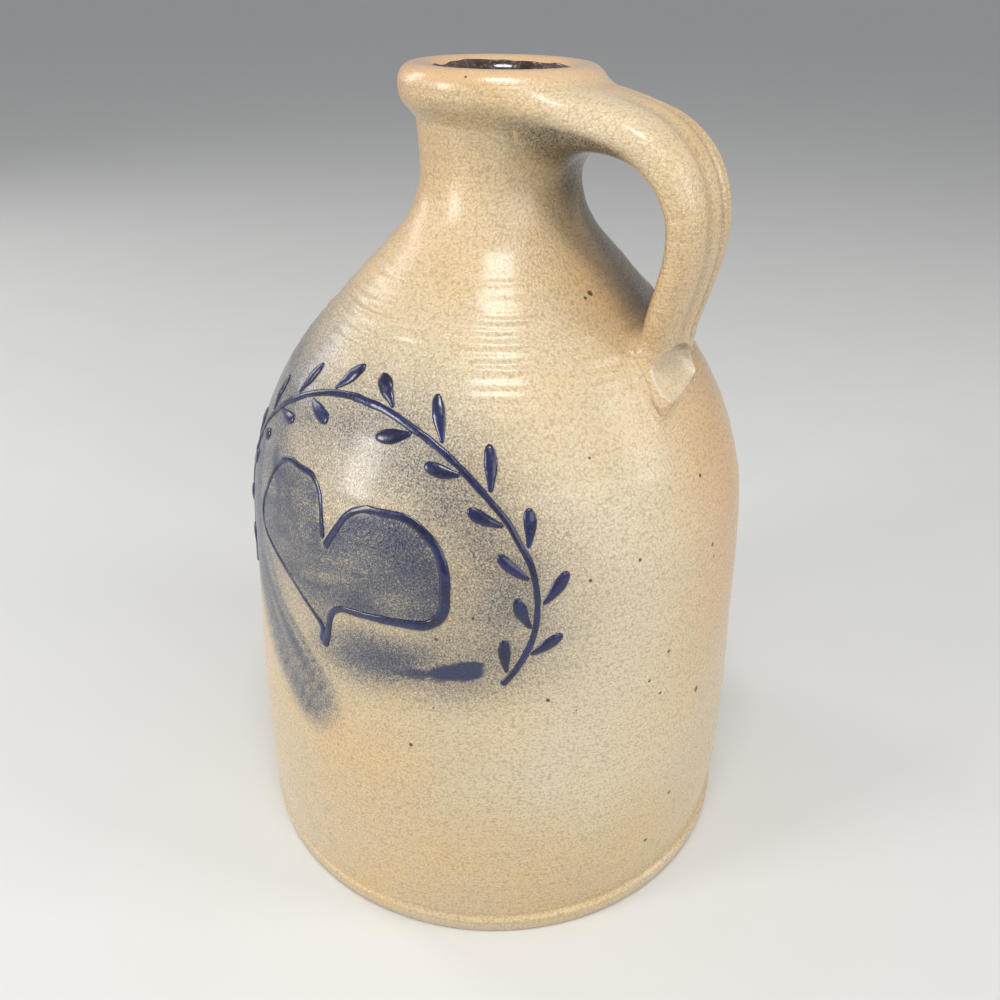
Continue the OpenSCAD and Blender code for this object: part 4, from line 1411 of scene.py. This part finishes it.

# %% [markdown]
# ## Luting slip
# Luting slip is the body's own clay, rougher and paler, because it dried before the salt came.
# Its lumps are 1.6 mm across, with painted shade darkening the hollows between them, and shine
# a little at their tops, over patches of two tones.

# %% Luting slip material
dry_slip, tree, shader, place = new_finish("fired_luting_slip", IOR=1.45)
lump = add(tree, "TexNoise", {"Vector": place, "Scale": 1000 / 1.6, "Detail": 4, "Roughness": 0.7})
lump = add(tree, "MapRange", {"Value": lump, "From Min": 0.32, "From Max": 0.68})
patch = add(tree, "TexNoise", {"Vector": place, "Scale": 1000 / 7, "Detail": 2})
tone = add(tree, "Mix", {
    "Factor": patch, "A": hex_colour("#CDB086"), "B": hex_colour("#DCC59C")}, data_type="RGBA")
# The hollows between the lumps take the darker tan: painted shade.
colour = add(tree, "Mix", {"Factor": lump, "A": hex_colour("#B39670"), "B": tone}, data_type="RGBA")
gloss = add(tree, "MapRange", {"Value": lump, "To Min": 0.7, "To Max": 0.45})
relief = add(tree, "Bump", {"Height": lump, "Distance": 0.3 * MM, "Strength": 0.8})
plug(tree, shader, Base_Color=colour, Roughness=gloss, Normal=relief)
print("luting slip:", len(tree.nodes), "nodes")

# %% [markdown]
# ## Dressing the jug
# Each skin takes the place of the solid that it was drawn over, and rides on the one body that
# the jug is.

# %% Dress
seated(body, salt_glaze, "salt_glazed_stoneware", "thrown_body")
seated(strap, salt_glaze, "salt_glazed_stoneware", "pulled_handle")
seated(upper_slip, dry_slip, "fired_slip", "upper_luting_slip")
seated(lower_slip, dry_slip, "fired_slip", "lower_luting_slip")
seated(lining, dark_glaze, "dark_liner_glaze", "liner_glaze")
seated(heart, cobalt, "cobalt_slip", "heart_trail")
seated(stem, cobalt, "cobalt_slip", "sprig_stem")
seated(leaves, cobalt, "cobalt_slip", "sprig_leaves")
print("dressed in", sorted(item.name for item in bpy.data.materials if item.users))

# %% [markdown]
# ## The floor
# The floor is one pale disc, so wide that from the photo's side its edge lies out of sight, with
# a faint tooth of 60 mm that keeps it from looking flat. It is staged: it belongs to no solid.

# %% Floor
FLOOR_R = 14.0
ring = np.linspace(0, 2 * np.pi, 128, endpoint=False)
disc = bpy.data.meshes.new("floor")
edge_points = np.stack([np.cos(ring), np.sin(ring), 0 * ring], -1) * FLOOR_R
disc.from_pydata(edge_points, [], [tuple(range(len(ring)))])
floor = bpy.data.objects.new("floor", disc)
bpy.context.scene.collection.objects.link(floor)
floor_finish, tree, shader, place = new_finish("pale_paper_floor", Roughness=0.6)
tooth = add(tree, "TexNoise", {"Vector": place, "Scale": 1000 / 60, "Detail": 2})
colour = add(tree, "Mix", {
    "Factor": tooth, "A": hex_colour("#D6D6D3"), "B": hex_colour("#DADAD8")}, data_type="RGBA")
plug(tree, shader, Base_Color=colour)
disc.materials.append(floor_finish)
print("floor", 2 * FLOOR_R, "m across")

# %% [markdown]
# ## Sky and soft boxes
# The sky has the floor's pale colour for the eye and gives light at a lower level. Five soft
# boxes do the rest: a window at the left, one overhead, a broad low one before the front, a tall
# one at the far left and one at the right and behind. Together they light tan clay as tan clay.

# %% Sky and lights
SKY_LIGHT = (0.36, 0.365, 0.38, 1)
AIM_H = 0.13  # the boxes look at the middle of the jug, in metres above the floor
world = bpy.data.worlds.new("pale_room")
bpy.context.scene.world = world
world.use_nodes = True
tree = world.node_tree
sky = tree.nodes["Background"]
seen = add(tree, "LightPath", {}, out="Is Camera Ray")
colour = add(tree, "Mix", {
    "Factor": seen, "A": SKY_LIGHT, "B": hex_colour("#DCDCDA")}, data_type="RGBA")
plug(tree, sky, Color=colour)


def soft_box(name, azimuth, elevation, distance, size, share, tint=(1, 1, 1)):
    """An area light turned to the jug. Share is the part of full daylight that it adds."""
    data = bpy.data.lights.new(name, "AREA")
    data.shape, data.size, data.size_y = "RECTANGLE", size[0], size[1]
    data.energy = share * np.pi ** 2 * distance ** 2
    data.color = tint
    box = bpy.data.objects.new(name, data)
    bpy.context.scene.collection.objects.link(box)
    turn, rise = np.radians(azimuth), np.radians(elevation)
    box.matrix_world = (
        Matrix.Translation((0, 0, AIM_H))
        @ Matrix.Rotation(turn + np.pi / 2, 4, "Z")
        @ Matrix.Rotation(np.pi / 2 - rise, 4, "X")
        @ Matrix.Translation((0, 0, distance))
    )
    box.visible_camera = False


soft_box("window", -120, 17, 1.2, (0.3, 0.46), 0.47, (1, 0.985, 0.96))
soft_box("overhead_front", -58, 70, 1.2, (0.4, 0.24), 0.46, (1, 0.99, 0.97))
soft_box("low_front", -25, 22, 1.5, (0.9, 0.7), 0.24)
soft_box("far_left", -176, 24, 1.3, (0.3, 0.8), 0.2)
soft_box("right_rear", 20, 26, 1.3, (0.4, 0.8), 0.3, (1, 0.98, 0.95))
print(len(bpy.data.lights), "soft boxes")
